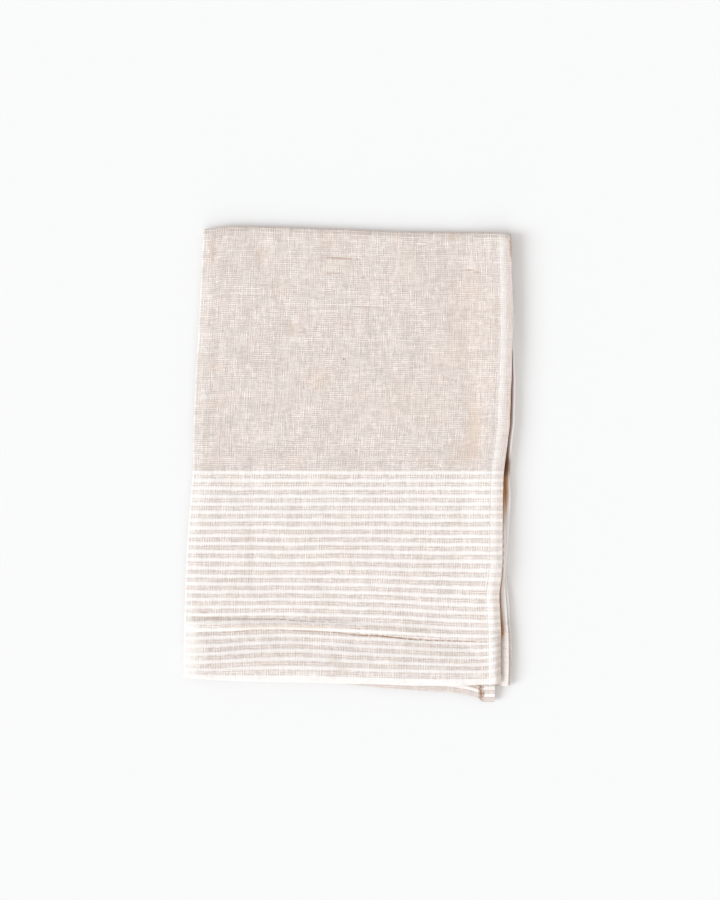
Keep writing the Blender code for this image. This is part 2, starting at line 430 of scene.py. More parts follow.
PINCHES = (
    Pinch(-22.5, 162.7, 8.3, 162.7, 1.2, 0.30),
    Pinch(91.2, 154.8, 103.1, 150.9, 1.5, 0.35),
    Pinch(36.7, 179.3, 36.7, 175.4, 2.2, 0.30),
    Pinch(77.8, 178.9, 84.1, 178.9, 2.2, 0.30),
    Pinch(-18.2, 184.1, -18.2, 168.3, 5.0, 0.35),
    Pinch(-70.3, 170.6, -70.3, 162.0, 4.0, 0.35),
    Pinch(49.4, 169.1, 85.7, 169.1, 3.0, 0.15),
    Pinch(-110.6, 180.9, -110.6, 158.8, 3.5, 0.30),
    Pinch(-56.5, 143.0, -56.5, 136.7, 3.5, 0.30),
    Pinch(-45.8, 111.4, -45.8, 102.7, 4.0, 0.30),
    Pinch(-28.8, 76.6, -28.8, 57.7, 7.0, 0.30),
    Pinch(98.4, 63.2, 98.4, -3.2, 7.0, 0.60),
    Pinch(-117.3, 28.4, -98.4, 20.5, 2.0, 0.25),
    Pinch(-98.4, 20.5, -21.7, 22.9, 2.0, 0.20),
    Pinch(-79.8, 19.8, -79.8, 12.6, 5.0, 0.30),
    Pinch(-4.7, 17.4, -4.7, 8.7, 6.0, 0.35),
    Pinch(14.6, -65.6, 34.4, -68.7, 1.6, 0.25),
    Pinch(-7.9, -150.9, -7.9, -165.1, 3.0, 0.60),
)


class Gap(NamedTuple):
    """The painted shade in the gap beside the top layer's edge, at one level: how dark, how wide.
    """

    y: float
    depth: float
    reach: float


GAPS = (
    Gap(188, 0.20, 1.2),
    Gap(105, 0.10, 1.0),
    Gap(84, 0.50, 1.0),
    Gap(68, 0.90, 1.4),
    Gap(45, 0.95, 2.0),
    Gap(27, 0.75, 1.8),
    Gap(14, 0.85, 2.0),
    Gap(8, 0.85, 3.4),
    Gap(2, 1.00, 5.6),
    Gap(-8, 1.00, 6.2),
    Gap(-12, 0.90, 5.6),
    Gap(-23, 1.00, 6.0),
    Gap(-32, 0.80, 5.4),
    Gap(-44, 0.45, 3.4),
    Gap(-56, 0.10, 1.6),
    Gap(-78, 0.20, 1.4),
    Gap(-90, 0.75, 2.0),
    Gap(-107, 0.80, 2.4),
    Gap(-124, 0.72, 3.2),
    Gap(-134, 1.00, 4.0),
    Gap(-141, 0.10, 2.0),
    Gap(-150, 0.00, 1.0),
    Gap(-190, 0.00, 1.0),
)


@dataclass
class FoldedCloth:
    """The shape of the cloth in its folds, with finer creases than the solid's.

    Sizes are in mm. A place on the cloth is given by two rows of three numbers,
    one across it and one along it: which half it is on (0 or 1, or between them
    on the fold), how far it is from the fold towards the hem (0 to 1), and how
    far it bulges with the fold (0 to 1).
    """

    cloth: float = 1.0
    slack_gap: float = 0.8
    top_slack: float = 0.5
    hem_gap: float = 2.1
    top_hem_gap: float = 2.3
    hem_rise: float = 26.0
    hem_calm: float = 0.5
    least_gap: float = 0.25
    side_hem: float = 10.7
    end_hem: float = 9.5
    half_width: float = 248.0
    half_length: float = 358.0
    top_depth: float = 4.3
    inner_depth: float = 1.4
    left_depth: float = 1.9
    sag_start: float = 2.0
    sag_reach: float = 13.0
    sag_drop: float = 2.6
    settle_start: float = 0.2
    settle_reach: float = 4.4
    settle_drop: float = 2.1
    settle_top: float = -128.0
    settle_length: float = 12.0
    curl_start: float = 0.6
    curl_power: float = 1.3
    curl_lead: float = 1.1
    curl_lean: float = 0.28
    crevice_back: float = 5.0
    crevice_dark: float = 3.0
    crevice_least: float = 0.5
    crevice_fade: float = 0.6
    fold_drop: float = 0.7
    fold_reach: float = 7.0
    ridge_width: float = 4.6
    furrow_width: float = 2.6
    furrow_share: float = 0.35
    cut_width: float = 1.0
    cut_share: float = 0.5
    old_crease_x: float = -76.0
    old_crease_top: float = 24.0
    old_crease_bottom: float = -110.0
    old_crease_fade: float = 20.0
    old_crease_width: float = 3.0
    old_crease_depth: float = 0.55
    hem_crown: float = 0.3
    low_hem_crown: float = 0.85
    low_hem: float = -84.0
    low_hem_rise: float = 40.0
    hem_crest: float = 6.0
    hem_edge: float = -0.2
    hem_foot: float = 0.8
    seam_dip: float = 0.07
    seam_width: float = 0.7
    washed: Ripples = Ripples(seed=11, shortest=9.0, longest=34.0, height=0.075)
    scallops: Ripples = Ripples(seed=5, shortest=12.0, longest=26.0, height=0.09, count=9)
    scallops_apart: float = 40.0
    rounds: int = 6

    def __post_init__(self) -> None:
        """Read the tables."""
        self.fold_x = {
            True: SmoothLine(SIDES, "y", "fold_12"),
            False: SmoothLine(SIDES, "y", "fold_34"),
        }
        self.edge_x = {
            layer: SmoothLine(SIDES, "y", f"edge_{layer.value}") for layer in Layer
        }
        self.curl = SmoothLine(SIDES, "y", "curl")
        self.top_y = SmoothLine(ACROSS, "x", "top")
        self.end_y = {
            Layer.OUTER_TOP: SmoothLine(ACROSS, "x", "end_1"),
            Layer.INNER_TOP: SmoothLine(ACROSS, "x", "end_2"),
            Layer.INNER_LOW: SmoothLine(ACROSS, "x", "end_34"),
            Layer.OUTER_LOW: SmoothLine(ACROSS, "x", "end_34"),
        }
        names = Crease._fields[1:]
        self.crease = {name: SmoothLine(CREASES, "x", name) for name in names}
        self.furrows = [
            (SmoothLine(rows, "x", "y"), SmoothLine(rows, "x", "depth"))
            for rows in (HIGH_FURROW, LOW_FURROW)
        ]
        self.gap_depth = SmoothLine(GAPS, "y", "depth")
        self.gap_reach = SmoothLine(GAPS, "y", "reach")

    def hem_zone(self, x: Array, y: Array, layer: Layer) -> Array:
        """How far a place is on the way up to a layer's hems.

        Args:
            x: Places along X.
            y: Places along Y.
            layer: The layer.

        Returns:
            From 0 on the plain cloth to 1 on the hems.
        """
        from_side = self.edge_x[layer](y) - self.side_hem - x
        from_end = y - self.end_y[layer](x) - self.end_hem
        side = ease(1 - from_side / self.hem_rise)
        end = ease(1 - from_end / self.hem_rise)
        return np.maximum(side, end)

    def crease_height(self, x: Array, y: Array) -> Array:
        """The ridge across the striped end, with its soft and sharp furrows.

        Args:
            x: Places along X.
            y: Places along Y.

        Returns:
            Heights above the layer's smooth run.
        """
        line = {name: curve(x) for name, curve in self.crease.items()}
        ridge = bell(y - line["ridge"], self.ridge_width)
        high = bell(y - line["furrow_high"], self.furrow_width)
        low = bell(y - line["furrow_low"], self.furrow_width)
        total = line["height"] * (ridge - self.furrow_share * (high + low))
        for place, depth in self.furrows:
            total = total - self.cut_share * depth(x) * bell(y - place(x), self.cut_width)
        return total

    def uneven_height(self, x: Array, y: Array) -> Array:
        """Swells, short creases and the washed-in ripple of the top layer.

        Args:
            x: Places along X.
            y: Places along Y.

        Returns:
            Heights above the layer's smooth run.
        """
        total = self.washed(x, y)
        for swell in SWELLS:
            across = bell(x - swell.x, swell.reach_x)
            down = bell(y - swell.y, swell.reach_y)
            total = total + swell.height * across * down
        for pinch in PINCHES:
            run_x = pinch.x2 - pinch.x1
            run_y = pinch.y2 - pinch.y1
            length = math.hypot(run_x, run_y)
            off_x = x - pinch.x1
            off_y = y - pinch.y1
            share = np.clip((off_x * run_x + off_y * run_y) / length**2, 0, 1)
            away = np.hypot(off_x - share * run_x, off_y - share * run_y)
            total = total - pinch.depth * bell(away, pinch.width)
        below_top = ease((self.old_crease_top - y) / self.old_crease_fade)
        above_bottom = ease((y - self.old_crease_bottom) / self.old_crease_fade)
        crease = bell(x - self.old_crease_x, self.old_crease_width)
        return total - self.old_crease_depth * below_top * above_bottom * crease

    def gap_34(self, x: Array, y: Array) -> Array:
        """Air between the two lowest layers."""
        zone = self.hem_zone(x, y, Layer.INNER_LOW)
        return self.slack_gap + (self.hem_gap - self.slack_gap) * zone

    def gap_12(self, x: Array, y: Array) -> Array:
        """Air under the top layer, with all of its unevenness.

        Args:
            x: Places along X.
            y: Places along Y.

        Returns:
            Thicknesses of the air.
        """
        zone_1 = self.hem_zone(x, y, Layer.OUTER_TOP)
        zone_2 = self.hem_zone(x, y, Layer.INNER_TOP)
        hems = np.maximum(zone_1, zone_2)
        uneven = self.crease_height(x, y) + self.uneven_height(x, y)
        loose = self.slack_gap + self.top_slack
        middle = np.maximum(loose + uneven * (1 - self.hem_calm * hems), self.least_gap)
        return middle + (self.top_hem_gap - loose) * hems

    def free_corner_sag(self, x: Array, y: Array) -> Array:
        """How far the upper layers sag past the ends of the lower ones."""
        past = self.end_y[Layer.INNER_LOW](x) - self.sag_start - y
        return self.sag_drop * ease(past / self.sag_reach)

    def edge_settling(self, x: Array, y: Array) -> Array:
        """How far the top layer settles past the edge of the one under it.

        Args:
            x: Places along X.
            y: Places along Y.

        Returns:
            How much lower it lies.
        """
        past = x - self.edge_x[Layer.INNER_TOP](y) - self.settle_start
        low_end = ease((self.settle_top - y) / self.settle_length)
        return self.settle_drop * low_end * ease(past / self.settle_reach)

    def hem_relief(self, x: Array, y: Array) -> Array:
        """The crown of the top layer's side hem and the dip of its seam.

        Args:
            x: Places along X.
            y: Places along Y.

        Returns:
            Heights above the flat hem.
        """
        inward = self.edge_x[Layer.OUTER_TOP](y) - x
        seam = inward - self.side_hem + SEAM_INSET
        foot = self.side_hem + self.hem_foot
        climb = ease((foot - inward) / (self.side_hem - self.hem_crest))
        crown = climb * (self.hem_edge + (1 - self.hem_edge) * ease(inward / self.hem_crest))
        low = ease((self.low_hem - y) / self.low_hem_rise)
        height = self.hem_crown + (self.low_hem_crown - self.hem_crown) * low
        return height * crown - self.seam_dip * bell(seam, self.seam_width)

    def edge_curl(self, x: Array, y: Array) -> Array:
        """How high the lower layers curl up past the edge of the top one.

        Args:
            x: Places along X.
            y: Places along Y.

        Returns:
            Heights above the floor or the layer's smooth run.
        """
        start = self.edge_x[Layer.OUTER_TOP](y) + self.curl_start
        share = np.clip((x - start) / (self.edge_x[Layer.OUTER_LOW](y) - start), 0, 1)
        return np.maximum(self.curl(y), 0) * share**self.curl_power

    def right_side(self, layer: Layer, x: Array, y: Array) -> Array:
        """Height of the right side of a layer.

        Args:
            layer: The layer.
            x: Places along X.
            y: Places along Y.

        Returns:
            Heights in mm.
        """
        if layer is Layer.OUTER_LOW:
            return self.edge_curl(x, y)
        top_3 = 2 * self.cloth + self.gap_34(x, y)
        if layer is Layer.INNER_LOW:
            return top_3 + self.edge_curl(x + self.curl_lead, y)
        bottom_2 = top_3 + self.slack_gap - self.free_corner_sag(x, y)
        if layer is Layer.INNER_TOP:
            return bottom_2
        lift = self.gap_12(x, y) - self.edge_settling(x, y) + self.hem_relief(x, y)
        from_fold = x - self.fold_x[True](y) - self.left_depth
        drop = self.fold_drop * (1 - ease(from_fold / self.fold_reach))
        return bottom_2 + 2 * self.cloth + lift - drop

    def bend_depth(self, layer: Layer) -> float:
        """How far the bend of a layer at the top stands out past its flat run."""
        return self.top_depth if layer.outer else self.inner_depth

    def bend_start(self, layer: Layer, x: Array) -> Array:
        """The Y at which the flat run of a layer meets its bend at the top.

        Args:
            layer: The layer.
            x: Places along X.

        Returns:
            The Y at each place.
        """
        top = self.top_y(x)
        if not layer.outer:
            top = top - 2 * self.cloth - self.gap_12(x, top - self.top_depth)
        return top - self.bend_depth(layer)

    def run(self, layer: Layer, across: Array, along: Array) -> Array:
        """Points on the flat run of a layer.

        Args:
            layer: The layer.
            across: From 0 at the left fold to 1 at the side edge.
            along: From 0 at the top fold to 1 at the end edge.

        Returns:
            Points in mm, with the same shape as across and three numbers each.
        """
        fold = self.fold_x[layer.upper]
        x = fold(0.0) + across * self.half_width
        y = -along * self.half_length
        # The sides depend on y and the ends on x, so they are worked out in turns
        apart = self.scallops_apart * layer.value
        for _ in range(self.rounds):
            start = self.bend_start(layer, x)
            y = start + (self.end_y[layer](x) - start) * along
            left = fold(y) + self.left_depth
            edge = self.edge_x[layer](y) + self.scallops(y, y * 0 + apart)
            x = left + (edge - left) * across
        return np.stack([x, y, self.right_side(layer, x, y)], axis=-1)

    def stripe_y(self, number: int, x: Array) -> Array:
        """Where a white stripe of the top layer lies.

        Args:
            number: Its number, from 0 for the one farthest from the end.
            x: Places along X.

        Returns:
            The stripe's Y at each place.
        """
        even = LYING_FIRST - number * LYING_PITCH
        total = np.full(np.shape(x), even)
        for drift in DRIFTS:
            fade = bell(even - drift.y, drift.reach_y)
            total = total + drift.shift * fade * bell(x - drift.x, drift.reach_x)
        return total

    def place_along(self, x: Array, y: Array) -> Array:
        """How far a place of the top layer is from the striped end, on the cloth.

        Args:
            x: Places along X.
            y: Places along Y.

        Returns:
            Distances along the cloth in mm, evened out between the stripes.
        """
        lines = [(0.0, self.end_y[Layer.OUTER_TOP](x))]
        for number in reversed(range(STRIPES)):
            lines.append((FIRST_STRIPE - number * STRIPE_PITCH, self.stripe_y(number, x)))
        lines.append((self.half_length, self.bend_start(Layer.OUTER_TOP, x)))
        total = np.zeros(np.shape(x))
        for (v_low, y_low), (v_high, y_high) in zip(lines, lines[1:]):
            share = np.clip((y - y_low) / (y_high - y_low), 0, 1)
            total = total + (v_high - v_low) * share
        return total

    def cloth_place(self, layer: Layer, x: float, y: float) -> Pair:
        """Where a place of one of the two upper layers is on the flat cloth.

        Args:
            layer: The layer.
            x: Its X.
            y: Its Y.

        Returns:
            Distances across from the lengthwise fold, less than 0 on the inner
            half, and along from the striped end.
        """
        left = self.fold_x[True](y) + self.left_depth
        across = (x - left) / (self.edge_x[layer](y) - left)
        u = float(across * self.half_width)
        if layer is Layer.OUTER_TOP:
            return u, float(self.place_along(x, y))
        start = self.bend_start(layer, x)
        along = (y - start) / (self.end_y[layer](x) - start)
        return -u, float((1 - along) * self.half_length)

    def crevice(self, x: Array, y: Array, outer: Array) -> Array:
        """How much painted shade a lower place takes in the gap beside the top layer's edge.

        Args:
            x: Places along X.
            y: Places along Y.
            outer: Whether each place is on the outer half, whose wrong side
                shows and leans in where the layer curls up.

        Returns:
            From 0 to 1.
        """
        lean = np.where(outer, self.curl_lean * self.curl(y), 0.0)
        past = x - self.edge_x[Layer.OUTER_TOP](y) - lean
        reach = np.maximum(self.gap_reach(y), self.crevice_least)
        back = ease((past + self.crevice_back) / (self.crevice_back - self.crevice_dark))
        front = ease((reach - past) / (self.crevice_fade * reach))
        return np.clip(self.gap_depth(y) * back * front, 0.0, 1.0)

    def points(self, across: Array, along: Array) -> Array:
        """Points on the right side of the cloth.

        Args:
            across: Three rows of numbers, for the steps across the cloth.
            along: Three rows of numbers, for the steps along it.

        Returns:
            A grid of points in mm, a row for each step along the cloth.
        """
        outer, lower = np.meshgrid(across[0], along[0])
        to_side, to_end = np.meshgrid(across[1], along[1])
        left_bulge, top_bulge = np.meshgrid(across[2], along[2])
        grid = np.zeros(to_side.shape + (3,))
        depth = np.zeros(to_side.shape)
        for layer in Layer:
            share = outer if layer.outer else 1 - outer
            share = share * ((1 - lower) if layer.upper else lower)
            grid += share[..., None] * self.run(layer, to_side, to_end)
            depth += share * self.bend_depth(layer)
        grid[..., 0] -= self.left_depth * left_bulge
        grid[..., 1] += depth * top_bulge
        return grid

    def steps(self, near: Array, far: Array, whole: float, bends: int) -> Array:
        """Steps from one hemmed edge over the fold to the other.

        Args:
            near: Distances from the first edge, growing, up to the fold.
            far: The same from the second edge.
            whole: Distance from an edge to the fold.
            bends: How many steps go round the fold.

        Returns:
            Three rows: half, distance from the fold (0 to 1) and bulge.
        """
        turn = np.linspace(-math.pi / 2, math.pi / 2, bends + 2)[1:-1]
        first = np.stack([0 * near, 1 - near / whole, 0 * near])
        fold = np.stack([(1 + np.sin(turn)) / 2, 0 * turn, np.cos(turn)])
        far = far[::-1]
        second = np.stack([0 * far + 1, 1 - far / whole, 0 * far])
        return np.concatenate([first, fold, second], axis=1)


# --------------------------------------------------------------------------
# Shader expressions
# --------------------------------------------------------------------------

Number = Union[float, int]


class Signal:
    """An output of a node. Arithmetic on it adds the Math nodes it needs."""

    def __init__(self, graph: "Graph", socket: bpy.types.NodeSocket) -> None:
        """Wrap a socket.

        Args:
            graph: The graph that the socket's node is in.
            socket: An output socket.
        """
        self.graph = graph
        self.socket = socket

    def _math(self, operation: str, *values: "Value") -> "Signal":
        """Add a Math node with these inputs."""
        inputs = dict(enumerate(values))
        return self.graph.node("ShaderNodeMath", {"operation": operation}, inputs)

    def __add__(self, other: "Value") -> "Signal":
        """self + other."""
        return self._math("ADD", self, other)

    __radd__ = __add__

    def __sub__(self, other: "Value") -> "Signal":
        """self - other."""
        return self._math("SUBTRACT", self, other)

    def __rsub__(self, other: "Value") -> "Signal":
        """other - self."""
        return self._math("SUBTRACT", other, self)

    def __mul__(self, other: "Value") -> "Signal":
        """self * other."""
        return self._math("MULTIPLY", self, other)

    __rmul__ = __mul__

    def __truediv__(self, other: "Value") -> "Signal":
        """self / other."""
        return self._math("DIVIDE", self, other)

    def __rtruediv__(self, other: "Value") -> "Signal":
        """other / self."""
        return self._math("DIVIDE", other, self)

    def __mod__(self, other: "Value") -> "Signal":
        """The positive remainder of self by other."""
        return self._math("FLOORED_MODULO", self, other)

    def __abs__(self) -> "Signal":
        """The size of self."""
        return self._math("ABSOLUTE", self)

    def __lt__(self, other: "Value") -> "Signal":
        """1 where self is less than other, and 0 elsewhere."""
        return self._math("LESS_THAN", self, other)

    def __gt__(self, other: "Value") -> "Signal":
        """1 where self is more than other, and 0 elsewhere."""
        return self._math("GREATER_THAN", self, other)

    def __pow__(self, other: "Value") -> "Signal":
        """self to a power."""
        return self._math("POWER", self, other)

    def floor(self) -> "Signal":
        """The whole number at or below self."""
        return self._math("FLOOR", self)

    def fraction(self) -> "Signal":
        """What is left of self above its floor."""
        return self._math("FRACT", self)

    def at_most(self, other: "Value") -> "Signal":
        """The smaller of self and other."""
        return self._math("MINIMUM", self, other)

    def at_least(self, other: "Value") -> "Signal":
        """The larger of self and other."""
        return self._math("MAXIMUM", self, other)

    def fade(self, start: Number, end: Number) -> "Signal":
        """Go smoothly from 0 to 1 as self goes from start to end.

        Args:
            start: Where the result is 0.
            end: Where it is 1. It may be below start.

        Returns:
            The faded signal.
        """
        settings = {"interpolation_type": "SMOOTHSTEP"}
        sockets = {"Value": self, "From Min": start, "From Max": end}
        return self.graph.node("ShaderNodeMapRange", settings, sockets)


Value = Union[Signal, Number, Sequence[float]]


class Graph:
    """The nodes of one material."""

    def __init__(self, name: str) -> None:
        """Start a material with a Principled shader.

        Args:
            name: The material's name.
        """
        self.material = bpy.data.materials.new(name)
        self.material.use_nodes = True
        self.tree = self.material.node_tree
        self.shader = self.tree.nodes["Principled BSDF"]

    def node(
        self,
        kind: str,
        settings: dict[str, object] | None = None,
        sockets: dict[str | int, Value] | None = None,
        output: str | int = 0,
    ) -> Signal:
        """Add a node.

        Args:
            kind: The node's type.
            settings: Its settings, which are set first. The setting "points"
                holds the points of a curve.
            sockets: Values or links of its inputs, by name or place.
            output: Which output is wanted.

        Returns:
            That output.
        """
        made = self.tree.nodes.new(kind)
        for name, value in (settings or {}).items():
            if name == "points":
                self.shape_curve(made, value)
            else:
                setattr(made, name, value)
        for name, value in (sockets or {}).items():
            self.put(made.inputs[name], value)
        return Signal(self, made.outputs[output])

    @staticmethod
    def shape_curve(made: bpy.types.Node, points: Sequence[Pair]) -> None:
        """Give a curve node its points.

        Args:
            made: The node.
            points: Places and values, all from 0 to 1.
        """
        curve = made.mapping.curves[0]
        while len(curve.points) < len(points):
            curve.points.new(0.5, 0.5)
        for point, place in zip(curve.points, sorted(points)):
            point.location = place
        made.mapping.update()

    def curve(self, at: Signal, points: Sequence[Pair]) -> Signal:
        """A smooth curve through some points.

        Args:
            at: Where to read it.
            points: Places and values, at least two.

        Returns:
            The curve's value.
        """
        low = min(place for place, _ in points)
        reach = max(place for place, _ in points) - low
        least = min(value for _, value in points)
        rise = max(max(value for _, value in points) - least, 1e-6)
        scaled = [((place - low) / reach, (value - least) / rise) for place, value in points]
        sockets = {"Value": (at - low) / reach}
        read = self.node("ShaderNodeFloatCurve", {"points": scaled}, sockets)
        return read * rise + least

    def put(self, socket: bpy.types.NodeSocket, value: Value) -> None:
        """Link a signal to an input, or set the input to a value.

        Args:
            socket: The input.
            value: The signal or the value.
        """
        if isinstance(value, Signal):
            self.tree.links.new(value.socket, socket)
        elif isinstance(socket.default_value, float):
            socket.default_value = float(value)
        else:
            wanted = len(socket.default_value)
            socket.default_value = (tuple(value) + (1.0,))[:wanted]

    def dressed(self, sockets: dict[str, Value]) -> bpy.types.Material:
        """Fill inputs of the shader.

        Args:
            sockets: Values or links, by the input's name.

        Returns:
            The finished material.
        """
        for name, value in sockets.items():
            self.put(self.shader.inputs[name], value)
        return self.material

    def part(self, vector: Signal, axis: str) -> Signal:
        """One of the three numbers of a vector."""
        return self.node("ShaderNodeSeparateXYZ", None, {0: vector}, axis)

    def mix(self, share: Value, first: Value, second: Value) -> Signal:
        """Blend two colours.

        Args:
            share: How much of the second is taken.
            first: A colour.
            second: A colour.

        Returns:
            The blended colour.
        """
        sockets = {0: share, 6: first, 7: second}
        return self.node("ShaderNodeMix", {"data_type": "RGBA"}, sockets, 2)

    def scale(self, colour: Value, by: Value) -> Signal:
        """Make a colour lighter or darker by a factor."""
        settings = {"operation": "SCALE"}
        return self.node("ShaderNodeVectorMath", settings, {0: colour, "Scale": by})

    def vector(self, x: Value, y: Value, z: Value = 0.0) -> Signal:
        """Three numbers as one vector."""
        return self.node("ShaderNodeCombineXYZ", None, {0: x, 1: y, 2: z})

    def noise(self, place: Signal, detail: Number = 2.0) -> Signal:
        """Smooth noise about 0.5 at a place, with features about 1 wide."""
        sockets = {"Vector": place, "Scale": 1.0, "Detail": detail}
        return self.node("ShaderNodeTexNoise", {"noise_dimensions": "2D"}, sockets)

    def random(self, number: Signal, salt: Value) -> Signal:
        """An even random number from 0 to 1 for each whole number or pair of them."""
        sockets = {"Vector": self.vector(number, salt)}
        return self.node("ShaderNodeTexWhiteNoise", {"noise_dimensions": "2D"}, sockets)


# --------------------------------------------------------------------------
# Finishes
# --------------------------------------------------------------------------


class Yarn(Enum):
    """What a mark on the cloth is made of, as its colour; some marks are painted shade or
    highlight instead.
    """

    SLUB = (0.44, 0.27, 0.17)
    FLECK = (0.09, 0.06, 0.045)
    PALE = (0.97, 0.93, 0.89)
    STAIN = (0.66, 0.50, 0.38)
    TAN = (0.76, 0.655, 0.54)
    # Painted shade in gaps and pleats: brown, ochre where a gap looks half lit, and red higher up
    CREVICE = (0.28, 0.12, 0.05)
    OCHRE = (0.50, 0.22, 0.04)
    RUST = (0.74, 0.31, 0.10)


class Mark(NamedTuple):
    """A thick or dark thread, a fleck, a stain, or a painted shade or highlight."""

    x: float
    y: float
    half_x: float
    half_y: float
    strength: float
    yarn: Yarn
    layer: Layer = Layer.OUTER_TOP


MARKS = (
    Mark(-7.1, 162.7, 21.0, 1.2, 0.62, Yarn.SLUB),
    Mark(-10.0, 157.0, 21.0, 9.0, 0.12, Yarn.TAN),
    Mark(-14.2, 150.9, 10.0, 0.8, 0.45, Yarn.SLUB),
    Mark(25.6, 145.4, 14.0, 1.0, 0.30, Yarn.SLUB),
    Mark(95.0, 153.4, 5.5, 1.0, 0.55, Yarn.SLUB),
    Mark(101.0, 151.5, 4.5, 0.9, 0.50, Yarn.SLUB),
    Mark(14.2, 124.3, 21.0, 0.8, 0.35, Yarn.SLUB),
    Mark(-109.5, 114.0, 11.0, 0.9, 0.30, Yarn.SLUB),
    Mark(4.3, 125.6, 58.0, 0.8, 0.45, Yarn.PALE),
    Mark(-84.0, 135.0, 40.0, 0.7, 0.35, Yarn.PALE),
    Mark(-4.3, 83.0, 1.0, 1.0, 0.90, Yarn.FLECK),
    Mark(5.5, 10.3, 0.9, 0.9, 0.80, Yarn.FLECK),
    Mark(36.7, 177.3, 4.0, 4.5, 0.30, Yarn.STAIN),
    Mark(81.0, 178.9, 7.0, 3.2, 0.40, Yarn.STAIN),
    Mark(-18.2, 176.0, 9.0, 12.0, 0.22, Yarn.STAIN),
    Mark(-70.3, 166.3, 6.0, 9.0, 0.34, Yarn.STAIN),
    Mark(-64.5, 158.0, 6.0, 9.0, 0.16, Yarn.TAN),
    Mark(-109.0, 171.0, 4.0, 17.0, 0.36, Yarn.SLUB),
    Mark(-56.5, 139.8, 6.0, 8.0, 0.16, Yarn.STAIN),
    Mark(-45.8, 107.0, 4.5, 8.0, 0.34, Yarn.STAIN),
    Mark(-24.0, 67.1, 15.0, 12.0, 0.26, Yarn.STAIN),
    Mark(-107.0, 76.0, 13.0, 5.0, 0.22, Yarn.STAIN),
    Mark(-110.0, 113.0, 11.0, 4.0, 0.16, Yarn.TAN),
    Mark(47.0, 157.0, 9.0, 20.0, 0.24, Yarn.TAN),
    Mark(10.5, 147.6, 3.5, 1.1, 0.35, Yarn.SLUB),
    Mark(98.4, 27.0, 10.0, 38.0, 0.40, Yarn.STAIN),
    Mark(48.0, 48.0, 58.0, 20.0, 0.16, Yarn.TAN),
    Mark(-50.0, -128.8, 68.0, 2.9, 0.52, Yarn.TAN),
    Mark(-115.0, -117.6, 4.5, 0.8, 0.45, Yarn.SLUB),
    # Painted shade in the high furrow, in the colour of a slub
    Mark(-106.5, -122.0, 8.0, 1.5, 0.20, Yarn.SLUB),
    Mark(5.5, -130.2, 6.5, 0.8, 0.60, Yarn.SLUB),
    Mark(24.0, -128.4, 16.0, 1.6, 0.22, Yarn.STAIN),
    Mark(-5.0, -163.0, 7.5, 4.5, 0.34, Yarn.STAIN),
    Mark(-12.0, -155.0, 7.0, 3.0, 0.22, Yarn.STAIN),
    Mark(80.0, 84.0, 18.0, 13.0, 0.18, Yarn.TAN),
    Mark(92.0, 9.0, 22.0, 14.0, 0.20, Yarn.STAIN),
    Mark(-108.0, 48.0, 11.0, 6.0, 0.20, Yarn.STAIN),
    # Painted shade: a dark line along the top layer's edge at the top right
    Mark(127.3, 171.0, 1.9, 13.0, 0.85, Yarn.CREVICE),
    # Painted shade along the top layer's edge, in the colour of a slub
    Mark(128.6, 88.0, 1.6, 8.0, 0.55, Yarn.SLUB),
    Mark(96.0, 112.0, 30.0, 80.0, 0.12, Yarn.STAIN),
    # Painted shade in the notch beside the second layer's side hem
    Mark(104.3, -180.5, 3.3, 9.0, 1.0, Yarn.CREVICE, Layer.INNER_TOP),
    # Painted shadow of the top layer's end on the second layer, in the colour of a slub
    Mark(98.0, -175.8, 6.5, 1.6, 0.55, Yarn.SLUB, Layer.INNER_TOP),
    # Painted highlight where the left fold faces the light, at the striped end
    Mark(-129.0, -150.0, 19.0, 42.0, 0.62, Yarn.PALE),
)


class ClothPlace(NamedTuple):
    """What the nodes of the weave are worked out from.

    Attributes:
        graph: The material's nodes.
        folds: The folds, which say where on the flat cloth a place lies.
        u: Distance across from the lengthwise fold in mm, less than 0 on the
            inner half.
        v: Distance along from the striped end in mm.
    """

    graph: Graph
    folds: FoldedCloth
    u: Signal
    v: Signal

    def noise(self, size: Pair, shift: Pair = (0.0, 0.0), detail: Number = 2.0) -> Signal:
        """Smooth noise about 0.5 on the cloth.

        Args:
            size: How wide and how long its features are, in mm.
            shift: Where in the noise it starts, so that no two are alike.
            detail: How much finer noise is added.

        Returns:
            The noise.
        """
        across = self.u / size[0] + shift[0]
        along = self.v / size[1] + shift[1]
        return self.graph.noise(self.graph.vector(across, along), detail)


class Threads(NamedTuple):
    """Where a place lies among the threads. The weft's threads are its picks.

    Attributes:
        warp_at: Its place across, counted in warp threads.
        pick_at: Its place along, counted in picks.
        warp_no: Number of its warp thread.
        pick_no: Number of its pick.
        over: 1 where the warp is on top, and 0 where the pick is.
        height: Height of the thread on top, about 0 to 1.
    """

    warp_at: Signal
    pick_at: Signal
    warp_no: Signal
    pick_no: Signal
    over: Signal
    height: Signal


